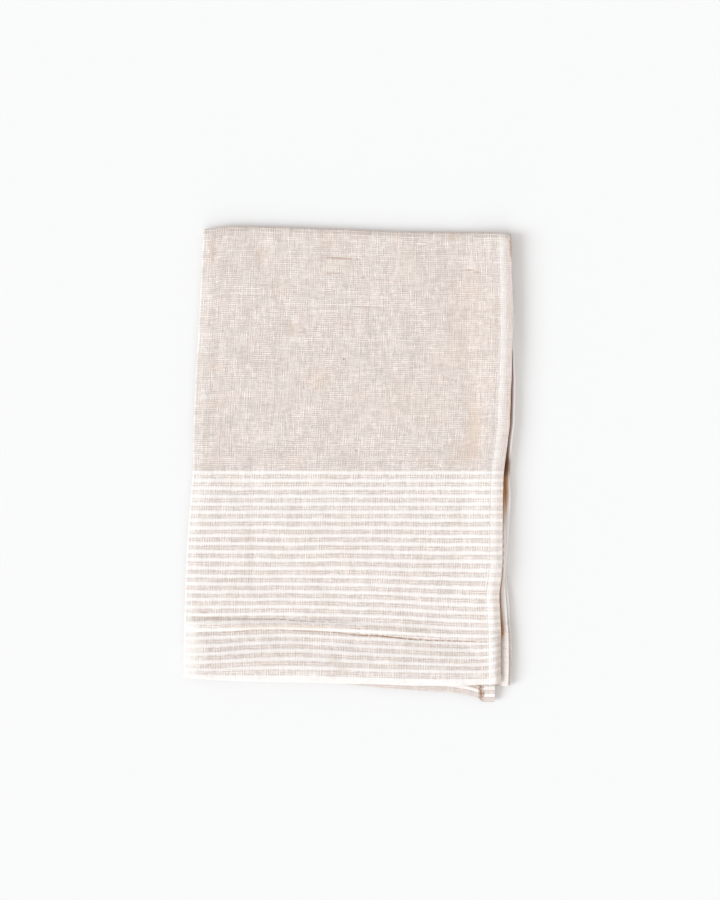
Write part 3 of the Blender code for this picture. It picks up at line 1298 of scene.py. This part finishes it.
@dataclass(frozen=True)
class WovenCotton:
    """Washed plain weave: off-white warp, sand weft and white weft stripes, with painted shade in
    its dips, furrows, edges and gap, and painted highlights on its fold and rims.

    Lengths are in mm on the flat cloth. A tone makes a thing lighter or darker,
    and a share says how much of another colour it takes.
    """

    warp_pitch: float = 0.95
    pick_pitch: float = 0.79
    warp_wander: float = 1.8
    pick_wander: float = 1.1
    flank: float = 0.55
    stripe_picks: int = 8
    white_picks: int = 3
    first_white: float = 9.92
    cream_end: float = 5.2
    turned_white: float = 5.7
    turned_half: float = 1.1
    warp: Colour = (0.765, 0.697, 0.655)
    pale_warp: Colour = (0.95, 0.905, 0.875)
    sand: Colour = (0.69, 0.622, 0.580)
    striped_sand: Colour = (0.735, 0.666, 0.628)
    stripe_white: Colour = (0.905, 0.87, 0.845)
    white: Colour = (0.985, 0.955, 0.935)
    edge_shade: Colour = (0.72, 0.62, 0.565)
    furrow: Colour = (0.34, 0.215, 0.14)
    inner_shade: Colour = (0.52, 0.445, 0.40)
    warm_shade: Colour = (0.635, 0.51, 0.44)
    washed_warm: Colour = (0.75, 0.61, 0.55)
    washed_cool: Colour = (0.76, 0.67, 0.66)
    warp_tone: float = 0.06
    pick_tone: float = 0.08
    run_tone: float = 0.46
    pair_lines: float = 0.115
    cell_tone: float = 0.12
    dash_tone: float = 0.12
    pale_pick_chance: float = 0.07
    pale_pick_tone: float = 0.09
    low_tone: float = 0.92
    height_tone: float = 0.11
    white_calm: float = 0.75
    shade_share: float = 0.40
    end_hem_share: float = 0.45
    upper_stripes_share: float = 0.22
    blotch_tone: float = 0.10
    speck_tone: float = 0.05
    warm_share: float = 0.18
    cool_share: float = 0.12
    hem_share: float = 0.38
    low_hem_loss: float = 0.08
    rim_loss: float = 0.8
    edge_share: float = 0.34
    inner_share: float = 0.10
    inner_sand_share: float = 0.34
    pale_rim_share: float = 0.35
    lit_rim_share: float = 0.60
    worn_share: float = 0.10
    low_worn_share: float = 0.05
    ragged_furrow: float = 0.40
    furrow_share: float = 0.45
    ragged_furrow_share: float = 0.50
    furrow_most: float = 0.95
    least_hole: float = 0.3
    hole_tone: float = 0.24
    gap_share: float = 0.96
    roughness: float = 0.93
    specular: float = 0.15
    bump: float = 0.7
    thread_relief: float = 0.20
    fuzz_relief: float = 0.10
    crinkle_relief: float = 0.16
    hole_relief: float = 0.4

    def material(self, folds: FoldedCloth) -> bpy.types.Material:
        """Make the material, which reads the cloth's own map in metres.

        Args:
            folds: The folds, which say where on the cloth a mark lies.

        Returns:
            The material.
        """
        graph = Graph("washed_cotton")
        flat = graph.node("ShaderNodeUVMap", {"uv_map": CLOTH_MAP})
        u = graph.part(flat, "X") / MM
        v = graph.part(flat, "Y") / MM
        y = graph.part(graph.node("ShaderNodeTexCoord", None, None, "Object"), "Y") / MM
        place = ClothPlace(graph, folds, u, v)
        threads = self._threads(place)
        is_white, striped = self._white_picks(place, threads.pick_no)
        calm = 1 - is_white * self.white_calm

        cloth = self._yarn(place, threads, is_white, striped, calm)
        # Painted shade in the weave: the dips between threads are darker, and the lines add tone
        # that differs at random
        tone = self.low_tone + self.height_tone * threads.height
        tone = tone + self._lines(place, threads) * calm
        cloth = graph.scale(cloth, tone)
        # Painted warm shade in the darker parts of the weave
        shade = tone.fade(1.0, 0.78) * calm * self.shade_share
        cloth = graph.mix(shade, cloth, self.warm_shade)
        cloth = self._blotches(place, cloth)
        cloth = self._furrow_lines(place, cloth)
        cloth = self._marks(place, cloth)
        to_edge = folds.half_width - abs(u)
        cloth = self._hems(place, cloth, to_edge, y, is_white)
        holes = self._needle_holes(place, to_edge)
        cloth = graph.scale(cloth, 1 - holes * self.hole_tone)
        cloth = self._gap(graph, cloth, y)

        fuzz = place.noise(size=(0.55, 0.55)) * self.fuzz_relief
        crinkle = place.noise(size=(4.2, 3.6), detail=3.0) * self.crinkle_relief
        relief = threads.height * self.thread_relief + fuzz + crinkle - holes * self.hole_relief
        sockets = {"Strength": self.bump, "Distance": MM, "Height": relief}
        return graph.dressed(
            {
                "Base Color": cloth,
                "Roughness": self.roughness,
                "Specular IOR Level": self.specular,
                "Normal": graph.node("ShaderNodeBump", None, sockets),
            }
        )

    def _threads(self, place: ClothPlace) -> Threads:
        """Where each place lies among the threads, which wander a little.

        Args:
            place: The place on the cloth.

        Returns:
            Its threads, which one is on top and how high that is.
        """
        slow_u = place.noise(size=(62, 48), detail=1.0) - 0.5
        slow_v = place.noise(size=(58, 36), shift=(7.3, 3.1), detail=1.0) - 0.5
        warp_at = (place.u + slow_u * self.warp_wander) / self.warp_pitch
        pick_at = (place.v - self.first_white + slow_v * self.pick_wander) / self.pick_pitch
        warp_no = warp_at.floor()
        pick_no = pick_at.floor()
        over = (warp_no + pick_no) % 2
        round_u = 1 - ((warp_at.fraction() - 0.5) * 2) ** 2
        round_v = 1 - ((pick_at.fraction() - 0.5) * 2) ** 2
        warp_high = round_u * (self.flank + (1 - self.flank) * round_v)
        pick_high = round_v * (self.flank + (1 - self.flank) * round_u)
        height = warp_high * over + pick_high * (1 - over)
        return Threads(warp_at, pick_at, warp_no, pick_no, over, height)

    def _white_picks(self, place: ClothPlace, pick_no: Signal) -> tuple[Signal, Signal]:
        """Where the weft is white, and where the stripes run.

        The inner half shows its wrong side, where the turned-in cloth of the
        end hem has a white stripe of its own.

        Args:
            place: The place on the cloth.
            pick_no: Number of its pick.

        Returns:
            1 on white picks, and 1 between the first stripe and the last.
        """
        last = (STRIPES - 1) * self.stripe_picks + self.white_picks
        striped = (pick_no > -0.5) * (pick_no < last - 0.5)
        white = ((pick_no % self.stripe_picks) < self.white_picks - 0.5) * striped
        inner = place.u < 0.0
        turned = (abs(place.v - self.turned_white) < self.turned_half) * inner
        cream = (place.v < self.cream_end) * (1 - inner)
        return white.at_least(turned).at_least(cream), striped

    def _lines(self, place: ClothPlace, threads: Threads) -> Signal:
        """Fine lines and dashes: in patches, neighbouring threads lie in pairs.

        Args:
            place: The place on the cloth.
            threads: Its threads.

        Returns:
            How much lighter or darker it is, about 0.
        """
        graph = place.graph
        warp_no, pick_no = threads.warp_no, threads.pick_no
        warp_pair = (threads.warp_at / 2).floor()
        pick_pair = (threads.pick_at / 2).floor()
        patch_u = place.noise(size=(6, 9)).fade(0.42, 0.62)
        patch_v = place.noise(size=(14, 6), shift=(4, 8)).fade(0.38, 0.58)
        pair_u = ((warp_no % 2) * 2 - 1) * patch_u
        pair_v = ((pick_no % 2) * 2 - 1) * patch_v
        lines = (pair_u + pair_v) * self.pair_lines
        stretch = graph.noise(graph.vector(place.u / 16 + 2.2, pick_no * 3.3), 1.0)
        pale = (graph.random(pick_no, 4.4) < self.pale_pick_chance) * stretch.fade(0.46, 0.60)
        lines = lines + pale * self.pale_pick_tone
        lines = lines + (graph.random(warp_no, pick_no) - 0.5) * self.cell_tone
        dash_u = (place.u / 5.5 + pick_pair * 0.37).floor()
        dash_v = (place.v / 6.5 + warp_pair * 0.43).floor()
        for dash in (graph.random(dash_u, pick_pair + 0.6), graph.random(warp_pair + 0.3, dash_v)):
            lines = lines + (dash - 0.5) * self.dash_tone
        return lines

    def _yarn(
        self, place: ClothPlace, threads: Threads, is_white: Signal, striped: Signal, calm: Signal
    ) -> Signal:
        """Colour of the thread on top. Each has its own tone, which changes along it.

        Args:
            place: The place on the cloth.
            threads: Its threads.
            is_white: 1 on white picks.
            striped: 1 where the stripes run.
            calm: How uneven the thread is, less on white picks.

        Returns:
            The colour.
        """
        graph, v = place.graph, place.v
        warp_run = graph.noise(graph.vector(threads.warp_no * 1.37, v / 10), 1.0) - 0.5
        pick_run = graph.noise(graph.vector(place.u / 15, threads.pick_no * 1.71), 1.0) - 0.5
        warp_tone = (graph.random(threads.warp_no, 2.7) - 0.5) * self.warp_tone
        pick_tone = (graph.random(threads.pick_no, 8.1) - 0.5) * self.pick_tone
        warp_tone = warp_tone + warp_run * self.run_tone
        pick_tone = pick_tone + pick_run * self.run_tone

        end_hem = place.folds.end_hem
        sand = graph.mix(striped, self.sand, self.striped_sand)
        sand = graph.mix(v.fade(end_hem + 1, end_hem - 0.5) * self.end_hem_share, sand, self.white)
        upper_stripes = striped * v.fade(115, 165) * self.upper_stripes_share
        sand = graph.mix(upper_stripes, sand, self.white)
        white = graph.mix(v.fade(7.0, 4.5), self.stripe_white, self.white)
        weft = graph.mix(is_white, sand, white)
        warp = graph.mix(is_white, self.warp, self.pale_warp)
        warp_colour = graph.scale(warp, 1 + warp_tone * calm)
        weft_colour = graph.scale(weft, 1 + pick_tone * calm)
        return graph.mix(threads.over, weft_colour, warp_colour)

    def _blotches(self, place: ClothPlace, cloth: Signal) -> Signal:
        """Slow changes of tone and hue, left by washing.

        Args:
            place: The place on the cloth.
            cloth: Its colour.

        Returns:
            Its new colour.
        """
        graph = place.graph
        blotch = place.noise(size=(21, 18), shift=(3.3, 0.0), detail=3.0) - 0.5
        speck = place.noise(size=(1.6, 1.5), detail=1.0) - 0.5
        tone = 1 + blotch * self.blotch_tone + speck * self.speck_tone
        cloth = graph.scale(cloth, tone)
        hue = place.noise(size=(15, 15), shift=(9.1, 5.5), detail=1.0)
        cloth = graph.mix(hue.fade(0.50, 0.78) * self.warm_share, cloth, self.washed_warm)
        return graph.mix(hue.fade(0.50, 0.22) * self.cool_share, cloth, self.washed_cool)

    def _furrow_lines(self, place: ClothPlace, cloth: Signal) -> Signal:
        """Painted shade along the bottoms of the two furrows beside the ridge.

        Args:
            place: The place on the cloth.
            cloth: Its colour.

        Returns:
            Its new colour.
        """
        graph = place.graph
        ragged = place.noise(size=(3.5, 2.0), shift=(0.0, 2.2)).fade(0.25, 0.6)
        for rows in (HIGH_FURROW, LOW_FURROW):
            spots = [place.folds.cloth_place(Layer.OUTER_TOP, row.x, row.y) for row in rows]
            route = graph.curve(place.u, spots)
            depths = [(spot[0], row.depth) for spot, row in zip(spots, rows)]
            depth = graph.curve(place.u, depths).at_least(0.0)
            away = abs(place.v - route) + (1 - ragged) * self.ragged_furrow
            share = self.furrow_share + self.ragged_furrow_share * ragged
            share = (away.fade(1.05, 0.25) * depth * share).at_most(self.furrow_most)
            cloth = graph.mix(share, cloth, self.furrow)
        return cloth

    def _marks(self, place: ClothPlace, cloth: Signal) -> Signal:
        """Thick threads, flecks and stains, each with a ragged rim.

        Args:
            place: The place on the cloth.
            cloth: Its colour.

        Returns:
            Its new colour.
        """
        ragged = place.noise(size=(3.1, 2.3), shift=(6.6, 0.0)) - 0.5
        for mark in MARKS:
            mark_u, mark_v = place.folds.cloth_place(mark.layer, mark.x, mark.y)
            away_u = (place.u - mark_u) / mark.half_x
            away_v = (place.v - mark_v) / mark.half_y
            away = (away_u * away_u + away_v * away_v) ** 0.5 + ragged
            share = away.fade(1.0, 0.25) * mark.strength
            cloth = place.graph.mix(share, cloth, mark.yarn.value)
        return cloth

    def _hems(
        self, place: ClothPlace, cloth: Signal, to_edge: Signal, y: Signal, is_white: Signal
    ) -> Signal:
        """The side hems, painted shade at the edges, the inner half's painted shadow and a painted
        highlight on the fold.

        Hems look denser and paler, a little less so at the striped end, which is pale already.
        Near the edge their paleness fades out, and the outer half's edge, which turns away from
        the light on the top layer, takes a painted shade, darker and pinker. The lower layers take
        a painted highlight along their rims.

        Args:
            place: The place on the cloth.
            cloth: Its colour.
            to_edge: Its distance from its side edge in mm.
            y: Its Y on the folded towel in mm.
            is_white: 1 on white picks.

        Returns:
            Its new colour.
        """
        graph, u, v = place.graph, place.u, place.v
        half_length = place.folds.half_length
        side_hem = place.folds.side_hem
        outer = u > 0.0
        upper = v < half_length
        hem = to_edge.fade(side_hem + 2.0, side_hem - 2.4)
        # Painted shade where the edge turns away from the light: near it the hems lose their
        # paleness, and on the top layer the outer half's edge darkens towards edge_shade
        rim = to_edge.fade(7.5, 1.5)
        low = v.fade(200, 120)
        strength = (self.hem_share - self.low_hem_loss * low) * (1 - rim * self.rim_loss)
        cloth = graph.mix(hem * strength * outer, cloth, self.white)
        cloth = graph.mix(rim * upper * outer * self.edge_share, cloth, self.edge_shade)
        inner_share = self.inner_share + self.inner_sand_share * (1 - is_white)
        shaded = (1 - outer) * upper * inner_share
        cloth = graph.mix(shaded, cloth, self.inner_shade)
        # Painted highlight along the rims of the lower layers, weaker at the bottom
        lower = v.fade(half_length + 14, half_length + 40)
        rim_share = self.pale_rim_share + self.lit_rim_share * y.fade(-134, -112)
        rim_highlight = to_edge.fade(5.0, 1.5) * lower * rim_share
        # Painted highlight on the outer half along the lengthwise fold, which faces the light,
        # stronger at the striped end
        fold_highlight = abs(u).fade(9, 0) * (self.worn_share + self.low_worn_share * low) * outer
        return graph.mix(rim_highlight.at_least(fold_highlight), cloth, self.white)

    def _needle_holes(self, place: ClothPlace, to_edge: Signal) -> Signal:
        """The needle holes down the side hems, each of its own depth.

        Args:
            place: The place on the cloth.
            to_edge: Its distance from its side edge in mm.

        Returns:
            Up to 1 in a hole, and 0 beside them.
        """
        line = abs(to_edge - (place.folds.side_hem - SEAM_INSET)).fade(0.75, 0.25)
        at = place.v / STITCH_PITCH
        spot = abs(at.fraction() - 0.5).fade(0.34, 0.44)
        depth = place.graph.random((at + 0.5).floor(), 6.2) * (1 - self.least_hole)
        return line * spot * (self.least_hole + depth)

    def _gap(self, graph: Graph, cloth: Signal, y: Signal) -> Signal:
        """Painted shade in the gap beside the top layer: brown, redder higher up and ochre where
        it looks half lit.

        Only what faces up in it takes the colour, so the edges stay clean.

        Args:
            graph: The material's nodes.
            cloth: A place's colour.
            y: Its Y on the folded towel in mm.

        Returns:
            Its new colour.
        """
        deep = graph.node("ShaderNodeAttribute", {"attribute_name": CREVICE}, None, "Fac")
        faces = graph.node("ShaderNodeNewGeometry", None, None, "Normal")
        faces_up = graph.part(faces, "Z").fade(0.10, 0.55)
        lit = y.fade(-8, -11) * y.fade(-46, -38) + y.fade(-84, -92) * 0.8
        gap = graph.mix(lit, Yarn.CREVICE.value, Yarn.OCHRE.value)
        gap = graph.mix(y.fade(2, 26), gap, Yarn.RUST.value)
        return graph.mix(deep * faces_up * self.gap_share, cloth, gap)


@dataclass(frozen=True)
class SewingThread:
    """Matt cream cotton thread with a fine twist."""

    colour: Colour = (0.78, 0.72, 0.68)
    roughness: float = 0.8
    twists: float = 900.0
    low_tone: float = 0.9
    twist_tone: float = 0.16

    def material(self) -> bpy.types.Material:
        """Make the material.

        Returns:
            The material.
        """
        graph = Graph("sewing_thread")
        place = graph.node("ShaderNodeTexCoord", None, None, "Object")
        sockets = {"Vector": place, "Scale": self.twists, "Detail": 1.0}
        twist = graph.node("ShaderNodeTexNoise", None, sockets)
        tone = graph.scale(self.colour, self.low_tone + self.twist_tone * twist)
        return graph.dressed({"Base Color": tone, "Roughness": self.roughness})


@dataclass(frozen=True)
class PaleFloor:
    """Smooth, plain, nearly white surface."""

    colour: Colour = (0.822, 0.822, 0.820)
    roughness: float = 0.9
    specular: float = 0.1

    def material(self) -> bpy.types.Material:
        """Make the material.

        Returns:
            The material.
        """
        sockets = {"Base Color": self.colour, "Roughness": self.roughness}
        sockets["Specular IOR Level"] = self.specular
        return Graph("pale_floor").dressed(sockets)


# --------------------------------------------------------------------------
# Pieces
# --------------------------------------------------------------------------


def spaced(length: float, step: float, fine: Iterable[float] = ()) -> Array:
    """Distances from an edge, evenly spaced, with some given ones added.

    Args:
        length: Where the distances end.
        step: The spacing between them.
        fine: Distances that are added. Even ones next to them are left out.

    Returns:
        The distances in growing order, from 0 to length.
    """
    fine = np.array(sorted(fine))
    even = np.linspace(0.0, length, round(length / step) + 1)
    if len(fine):
        gap = np.abs(even[:, None] - fine[None, :]).min(axis=1)
        even = even[(gap > step * CLEAR_OF_FINE) | (even == 0) | (even == length)]
    return np.unique(np.concatenate([even, fine]))


@dataclass
class TowelSheet:
    """The cloth as a thin sheet on its folds, with its turned hems."""

    folds: FoldedCloth
    finish: WovenCotton
    thickness: float = 0.8
    hem_thickness: float = 1.6
    hem_slope: float = 0.8
    edge_round: float = 0.7
    edge_angle: float = 70.0
    edge_segments: int = 3
    outer_step: float = 2.5
    inner_step: float = 4.6
    upper_step: float = 2.7
    lower_step: float = 6.0
    bends: int = 9
    crease_from: float = 30.0
    crease_to: float = 60.0
    crease_step: float = 1.0
    fold_reach: float = 60.0
    side_steps: tuple[float, ...] = (0.8, 1.6, 2.4, 3.2, 4.0, 4.8, 5.6, 6.4, 7.4, 8.6, 9.6)
    side_steps_inward: tuple[float, ...] = (12.6, 13.9)
    end_steps: tuple[float, ...] = (0.9, 2.4, 4.8, 7.2)
    end_steps_inward: tuple[float, ...] = (12.0,)
    end_step_before: float = 0.4
    snap: float = 0.01
    name: str = "towel_sheet"
    across: Array = field(init=False, repr=False)
    along: Array = field(init=False, repr=False)

    def __post_init__(self) -> None:
        """Work out the steps of the grid."""
        folds = self.folds
        side_hem, end_hem = folds.side_hem, folds.end_hem
        side = (side_hem - SEAM_INSET, side_hem, side_hem + self.hem_slope)
        side += self.side_steps + self.side_steps_inward
        end = (end_hem - self.end_step_before, end_hem, end_hem + self.hem_slope)
        end += self.end_steps + self.end_steps_inward
        crease = tuple(np.arange(self.crease_from, self.crease_to, self.crease_step))
        self.across = folds.steps(
            spaced(folds.half_width, self.inner_step, side),
            spaced(folds.half_width, self.outer_step, side),
            folds.half_width,
            self.bends,
        )
        self.along = folds.steps(
            spaced(folds.half_length, self.upper_step, end + crease),
            spaced(folds.half_length, self.lower_step, end),
            folds.half_length,
            self.bends,
        )

    def hem_weights(self) -> Array:
        """Which points of the grid are on a hem.

        Returns:
            1 on the hems and 0 on the plain cloth.
        """
        folds = self.folds
        from_side = (1 - self.across[1]) * folds.half_width
        from_end = (1 - self.along[1]) * folds.half_length
        side = from_side < folds.side_hem + self.snap
        end = from_end < folds.end_hem + self.snap
        return np.maximum(end[:, None], side[None, :]).astype(float)

    def cloth_map(self, points: Array) -> Array:
        """Each point's place on the flat cloth, in mm.

        Args:
            points: The points of the sheet.

        Returns:
            A grid of pairs: distance across from the lengthwise fold, less
            than 0 on the inner half, and distance along from the striped end.
        """
        folds = self.folds
        half, to_side, bulge = self.across
        round_fold = np.where(bulge > 0, (half - 0.5) * 2 * folds.left_depth, 0.0)
        u = np.where(half > 0.5, 1, -1) * to_side * folds.half_width
        u = np.where(bulge > 0, round_fold, u)
        lower, to_end, turned = self.along
        turn = folds.top_depth * 2
        upper_v = (1 - to_end) * folds.half_length
        lower_v = (1 + to_end) * folds.half_length + turn
        v = np.where(lower > 0.5, lower_v, upper_v)
        v = np.where(turned > 0, folds.half_length + turn * lower, v)
        u, v = np.meshgrid(u, v)

        # On the top layer the stripes lie where they are seen, and the inner
        # half takes them over at the fold
        top_rows = (lower < 0.5) & (turned == 0)
        top_columns = (half > 0.5) & (bulge == 0)
        lies = folds.place_along(points[..., 0], points[..., 1])
        at_fold = lies[:, np.argmax(top_columns)][:, None]
        near_fold = 1 - ease(np.abs(u) / self.fold_reach)
        seen = np.where(top_columns[None, :], lies, v + (at_fold - v) * near_fold)
        v = np.where(top_rows[:, None], seen, v)
        return np.stack([u, v], axis=-1)

    def crevices(self, points: Array) -> Array:
        """How much painted shade each point takes in the gap at the right.

        Args:
            points: The points of the sheet.

        Returns:
            From 0 to 1 for each point, and 0 on the top layer.
        """
        on_top = (self.across[0] > 0.5)[None, :] & (self.along[0] < 0.5)[:, None]
        outer = self.across[0][None, :] > 0.5
        deep = self.folds.crevice(points[..., 0], points[..., 1], outer)
        return np.where(on_top, 0.0, deep)

    def grid(self) -> bpy.types.Object:
        """The open sheet of the cloth's right side.

        Returns:
            The object, with its hems in a vertex group and its cloth map.
        """
        points = self.folds.points(self.across, self.along)
        flat = self.cloth_map(points) * MM
        deep = self.crevices(points)
        weights = self.hem_weights()
        rows, columns = weights.shape
        bm = grid_mesh(columns - 1, rows - 1, 1.0)
        hems = bm.verts.layers.deform.verify()
        crevice = bm.verts.layers.float.new(CREVICE)
        cloth = bm.loops.layers.uv.new(CLOTH_MAP)
        index = {}
        for vert in bm.verts:
            column = round((vert.co.x + 1) / 2 * (columns - 1))
            row = round((vert.co.y + 1) / 2 * (rows - 1))
            index[vert] = (row, column)
            vert.co = points[row, column] * MM
            vert[crevice] = float(deep[row, column])
            vert[hems][0] = float(weights[row, column])
        for face in bm.faces:
            for loop in face.loops:
                loop[cloth].uv = flat[index[loop.vert]]
        mesh = bpy.data.meshes.new(self.name)
        bm.to_mesh(mesh)
        bm.free()
        mesh.shade_smooth()
        sheet = placed(self.name, mesh)
        sheet.vertex_groups.new(name="hems")
        return sheet

    def build(self) -> bpy.types.Object:
        """Make the sheet, give it its thickness and dress it.

        Returns:
            The finished piece.
        """
        sheet = self.grid()
        thicken = sheet.modifiers.new("cloth thickness", "SOLIDIFY")
        thicken.thickness = self.hem_thickness * MM
        thicken.offset = -1.0
        thicken.vertex_group = "hems"
        thicken.thickness_vertex_group = self.thickness / self.hem_thickness
        soften = sheet.modifiers.new("turned edge", "BEVEL")
        soften.width = self.edge_round * MM
        soften.segments = self.edge_segments
        soften.limit_method = "ANGLE"
        soften.angle_limit = math.radians(self.edge_angle)
        sheet.data.materials.append(self.finish.material(self.folds))
        return sheet


@dataclass
class HemStitches:
    """Lockstitch along the inner edge of each hem, on both faces of the cloth."""

    folds: FoldedCloth
    finish: SewingThread
    cloth: TowelSheet
    pitch: float = STITCH_PITCH
    length: float = 2.3
    radius: float = 0.22
    bow: float = 0.12
    lowest: float = 0.02
    sides: int = 6
    rings: int = 5
    pointed: float = 0.8
    seam_step: float = 2.0
    seam_bends: int = 15
    beside: float = 0.6
    name: str = "hem_stitches"

    def seam(self, place: float, outer: bool, lengthwise: bool) -> tuple[Array, Array]:
        """Points and normals along one seam, on the right side of the cloth.

        Args:
            place: Distance of the seam from its hemmed edge.
            outer: Whether it is on the second half of the steps.
            lengthwise: Whether it runs along the towel's length.

        Returns:
            Points and unit normals in mm, a row for each.
        """
        folds = self.folds
        whole, run = folds.half_width, folds.half_length
        if not lengthwise:
            whole, run = run, whole
        steps = spaced(run, self.seam_step)
        path = folds.steps(steps, steps, run, self.seam_bends)
        pair = [1 - place / whole, 1 - (place + self.beside) / whole]
        rails = np.array([[float(outer)] * 2, pair, [0.0, 0.0]])
        if lengthwise:
            grid = folds.points(rails, path)
        else:
            grid = np.swapaxes(folds.points(path, rails), 0, 1)
        line = grid[:, 0]
        aside = grid[:, 1] - line
        forward = np.gradient(line, axis=0)
        normal = np.cross(forward, aside)
        normal /= np.linalg.norm(normal, axis=1)[:, None]
        if lengthwise != outer:
            normal = -normal
        return line, normal

    def stitches_on(self, line: Array, normal: Array) -> tuple[Array, Array, Array]:
        """Where each stitch of a seam goes.

        Args:
            line: Points along the seam.
            normal: Normals of the cloth there.

        Returns:
            The middles, directions and normals of the stitches.
        """
        legs = np.linalg.norm(np.diff(line, axis=0), axis=1)
        reach = np.concatenate([[0], np.cumsum(legs)])
        middles = np.arange(self.pitch, reach[-1] - self.pitch, self.pitch)

        def read(at: Array, rows: Array) -> Array:
            """Read rows of three numbers at some distances along the seam."""
            return np.stack([np.interp(at, reach, rows[:, k]) for k in range(3)], axis=-1)

        start = read(middles - self.length / 2, line)
        along = read(middles + self.length / 2, line) - start
        along /= np.linalg.norm(along, axis=1)[:, None]
        up = read(middles, normal)
        up /= np.linalg.norm(up, axis=1)[:, None]
        return read(middles, line), along, up

    def stitch_shape(self) -> tuple[Array, Array]:
        """One bowed stitch with pointed ends.

        Returns:
            Its points, along, beside and out of the cloth, and its faces.
        """
        t = np.linspace(-1, 1, self.rings)[:, None]
        turn = np.linspace(0, 2 * math.pi, self.sides, endpoint=False)[None, :]
        girth = self.radius * np.sqrt(1 - self.pointed * t * t)
        out = self.bow * (1 - 2 * t * t) + girth * np.sin(turn)
        along = t * self.length / 2 + 0 * turn
        points = np.stack([along, girth * np.cos(turn), out], axis=-1).reshape(-1, 3)
        corner = np.arange(self.sides)
        beyond = (corner + 1) % self.sides
        faces = []
        for ring in range(self.rings - 1):
            low = ring * self.sides
            high = low + self.sides
            faces.append(np.stack([low + corner, low + beyond, high + beyond, high + corner], 1))
        return points, np.concatenate(faces)

    def build(self) -> bpy.types.Object:
        """Sew every hem.

        Returns:
            All the stitches as one piece.
        """
        folds = self.folds
        shape, faces = self.stitch_shape()
        corners = []
        for outer in (False, True):
            for lengthwise, hem in ((True, folds.side_hem), (False, folds.end_hem)):
                line, normal = self.seam(hem - SEAM_INSET, outer, lengthwise)
                middle, along, up = self.stitches_on(line, normal)
                for depth, way in ((0.0, 1.0), (self.cloth.hem_thickness, -1.0)):
                    out = up * way
                    beside = np.cross(out, along)
                    axes = np.stack([along, beside, out], axis=1)
                    centre = middle - up * depth
                    corners.append(centre[:, None] + shape @ axes)
        points = np.concatenate(corners)
        points[..., 2] = np.maximum(points[..., 2], self.lowest)
        count, each = points.shape[:2]
        every = faces[None] + (np.arange(count) * each)[:, None, None]
        first = np.arange(self.sides)[::-1]
        last = np.arange(self.sides) + each - self.sides
        ends = np.stack([first, last])[None] + (np.arange(count) * each)[:, None, None]
        sides = every.reshape(-1, 4).tolist() + ends.reshape(-1, self.sides).tolist()
        mesh = bpy.data.meshes.new(self.name)
        mesh.from_pydata((points * MM).reshape(-1, 3).tolist(), [], sides)
        mesh.shade_smooth()
        mesh.materials.append(self.finish.material())
        return placed(self.name, mesh)


class Lamp(NamedTuple):
    """A broad, far light."""

    name: str
    strength: float
    softness: float
    comes_from: tuple[float, float, float]
    colour: Colour


LAMPS = (
    Lamp("window", 2.36, 32.0, (-0.74, -0.24, 0.43), (0.912, 1.01, 1.077)),
    Lamp("fill from the front", 0.85, 50.0, (-0.10, -0.85, 0.45), (1.0, 1.0, 1.0)),
)


@dataclass
class Studio:
    """A pale floor under soft light, seen from straight above."""

    finish: PaleFloor
    floor_side: float = 16.0
    photo_size: tuple[int, int] = (720, 900)
    towel_middle: Pair = (349.5, 464.0)
    pixel: float = 0.79
    cloth_height: float = 8.0
    lens: float = 50.0
    sensor: float = 36.0
    nearest: float = 0.05
    farthest: float = 20.0
    sky: Colour = (1.04, 0.995, 0.965)
    sky_strength: float = 0.68

    def floor(self) -> bpy.types.Object:
        """The surface that the towel lies on, which isn't part of it.

        Returns:
            The floor.
        """
        mesh = bpy.data.meshes.new("floor")
        bm = grid_mesh(2, 2, self.floor_side / 2)
        bm.to_mesh(mesh)
        bm.free()
        mesh.materials.append(self.finish.material())
        floor = placed("floor", mesh)
        return floor

    def camera(self) -> bpy.types.Object:
        """The camera, straight above, where the photograph was taken from.

        Returns:
            The camera.
        """
        wide, high = self.photo_size
        data = bpy.data.cameras.new("camera")
        data.lens = self.lens
        data.sensor_width = self.sensor
        data.clip_start = self.nearest
        data.clip_end = self.farthest
        camera = placed("camera", data)
        x = (wide / 2 - self.towel_middle[0]) * self.pixel
        y = (self.towel_middle[1] - high / 2) * self.pixel
        away = self.pixel * high * self.lens / self.sensor
        camera.location = Vector((x, y, self.cloth_height + away)) * MM
        bpy.context.scene.camera = camera
        return camera

    def light(self) -> None:
        """A broad, slightly cool window at the left, a weak fill and a warm sky."""
        for lamp in LAMPS:
            data = bpy.data.lights.new(lamp.name, "SUN")
            data.color = lamp.colour
            data.energy = lamp.strength
            data.angle = math.radians(lamp.softness)
            light = placed(lamp.name, data)
            light.rotation_euler = Vector(lamp.comes_from).to_track_quat("Z", "Y").to_euler()
        world = bpy.data.worlds.new("white room")
        world.use_nodes = True
        background = world.node_tree.nodes["Background"]
        background.inputs["Color"].default_value = (*self.sky, 1.0)
        background.inputs["Strength"].default_value = self.sky_strength
        bpy.context.scene.world = world
        view = bpy.context.scene.view_settings
        view.view_transform = "Standard"
        view.look = "None"
        view.exposure = 0.0
        view.gamma = 1.0


def report(piece: bpy.types.Object) -> None:
    """Log a finished piece with its size."""
    size = ", ".join(f"{side / MM:.1f}" for side in piece.dimensions)
    LOG.info("%s: %d faces, %s mm", piece.name, len(piece.data.polygons), size)


def main() -> None:
    """Build the towel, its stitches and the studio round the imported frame."""
    logging.basicConfig(level=logging.INFO, format="%(name)s: %(message)s")
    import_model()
    folds = FoldedCloth()

    towel = TowelSheet(folds, WovenCotton())
    sheet = towel.build()
    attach(sheet, BODY)
    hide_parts(CLOTH_NODE)
    report(sheet)

    stitches = HemStitches(folds, SewingThread(), towel).build()
    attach(stitches, BODY)
    report(stitches)

    studio = Studio(PaleFloor())
    floor = studio.floor()
    studio.camera()
    studio.light()


if __name__ == "__main__":
    main()
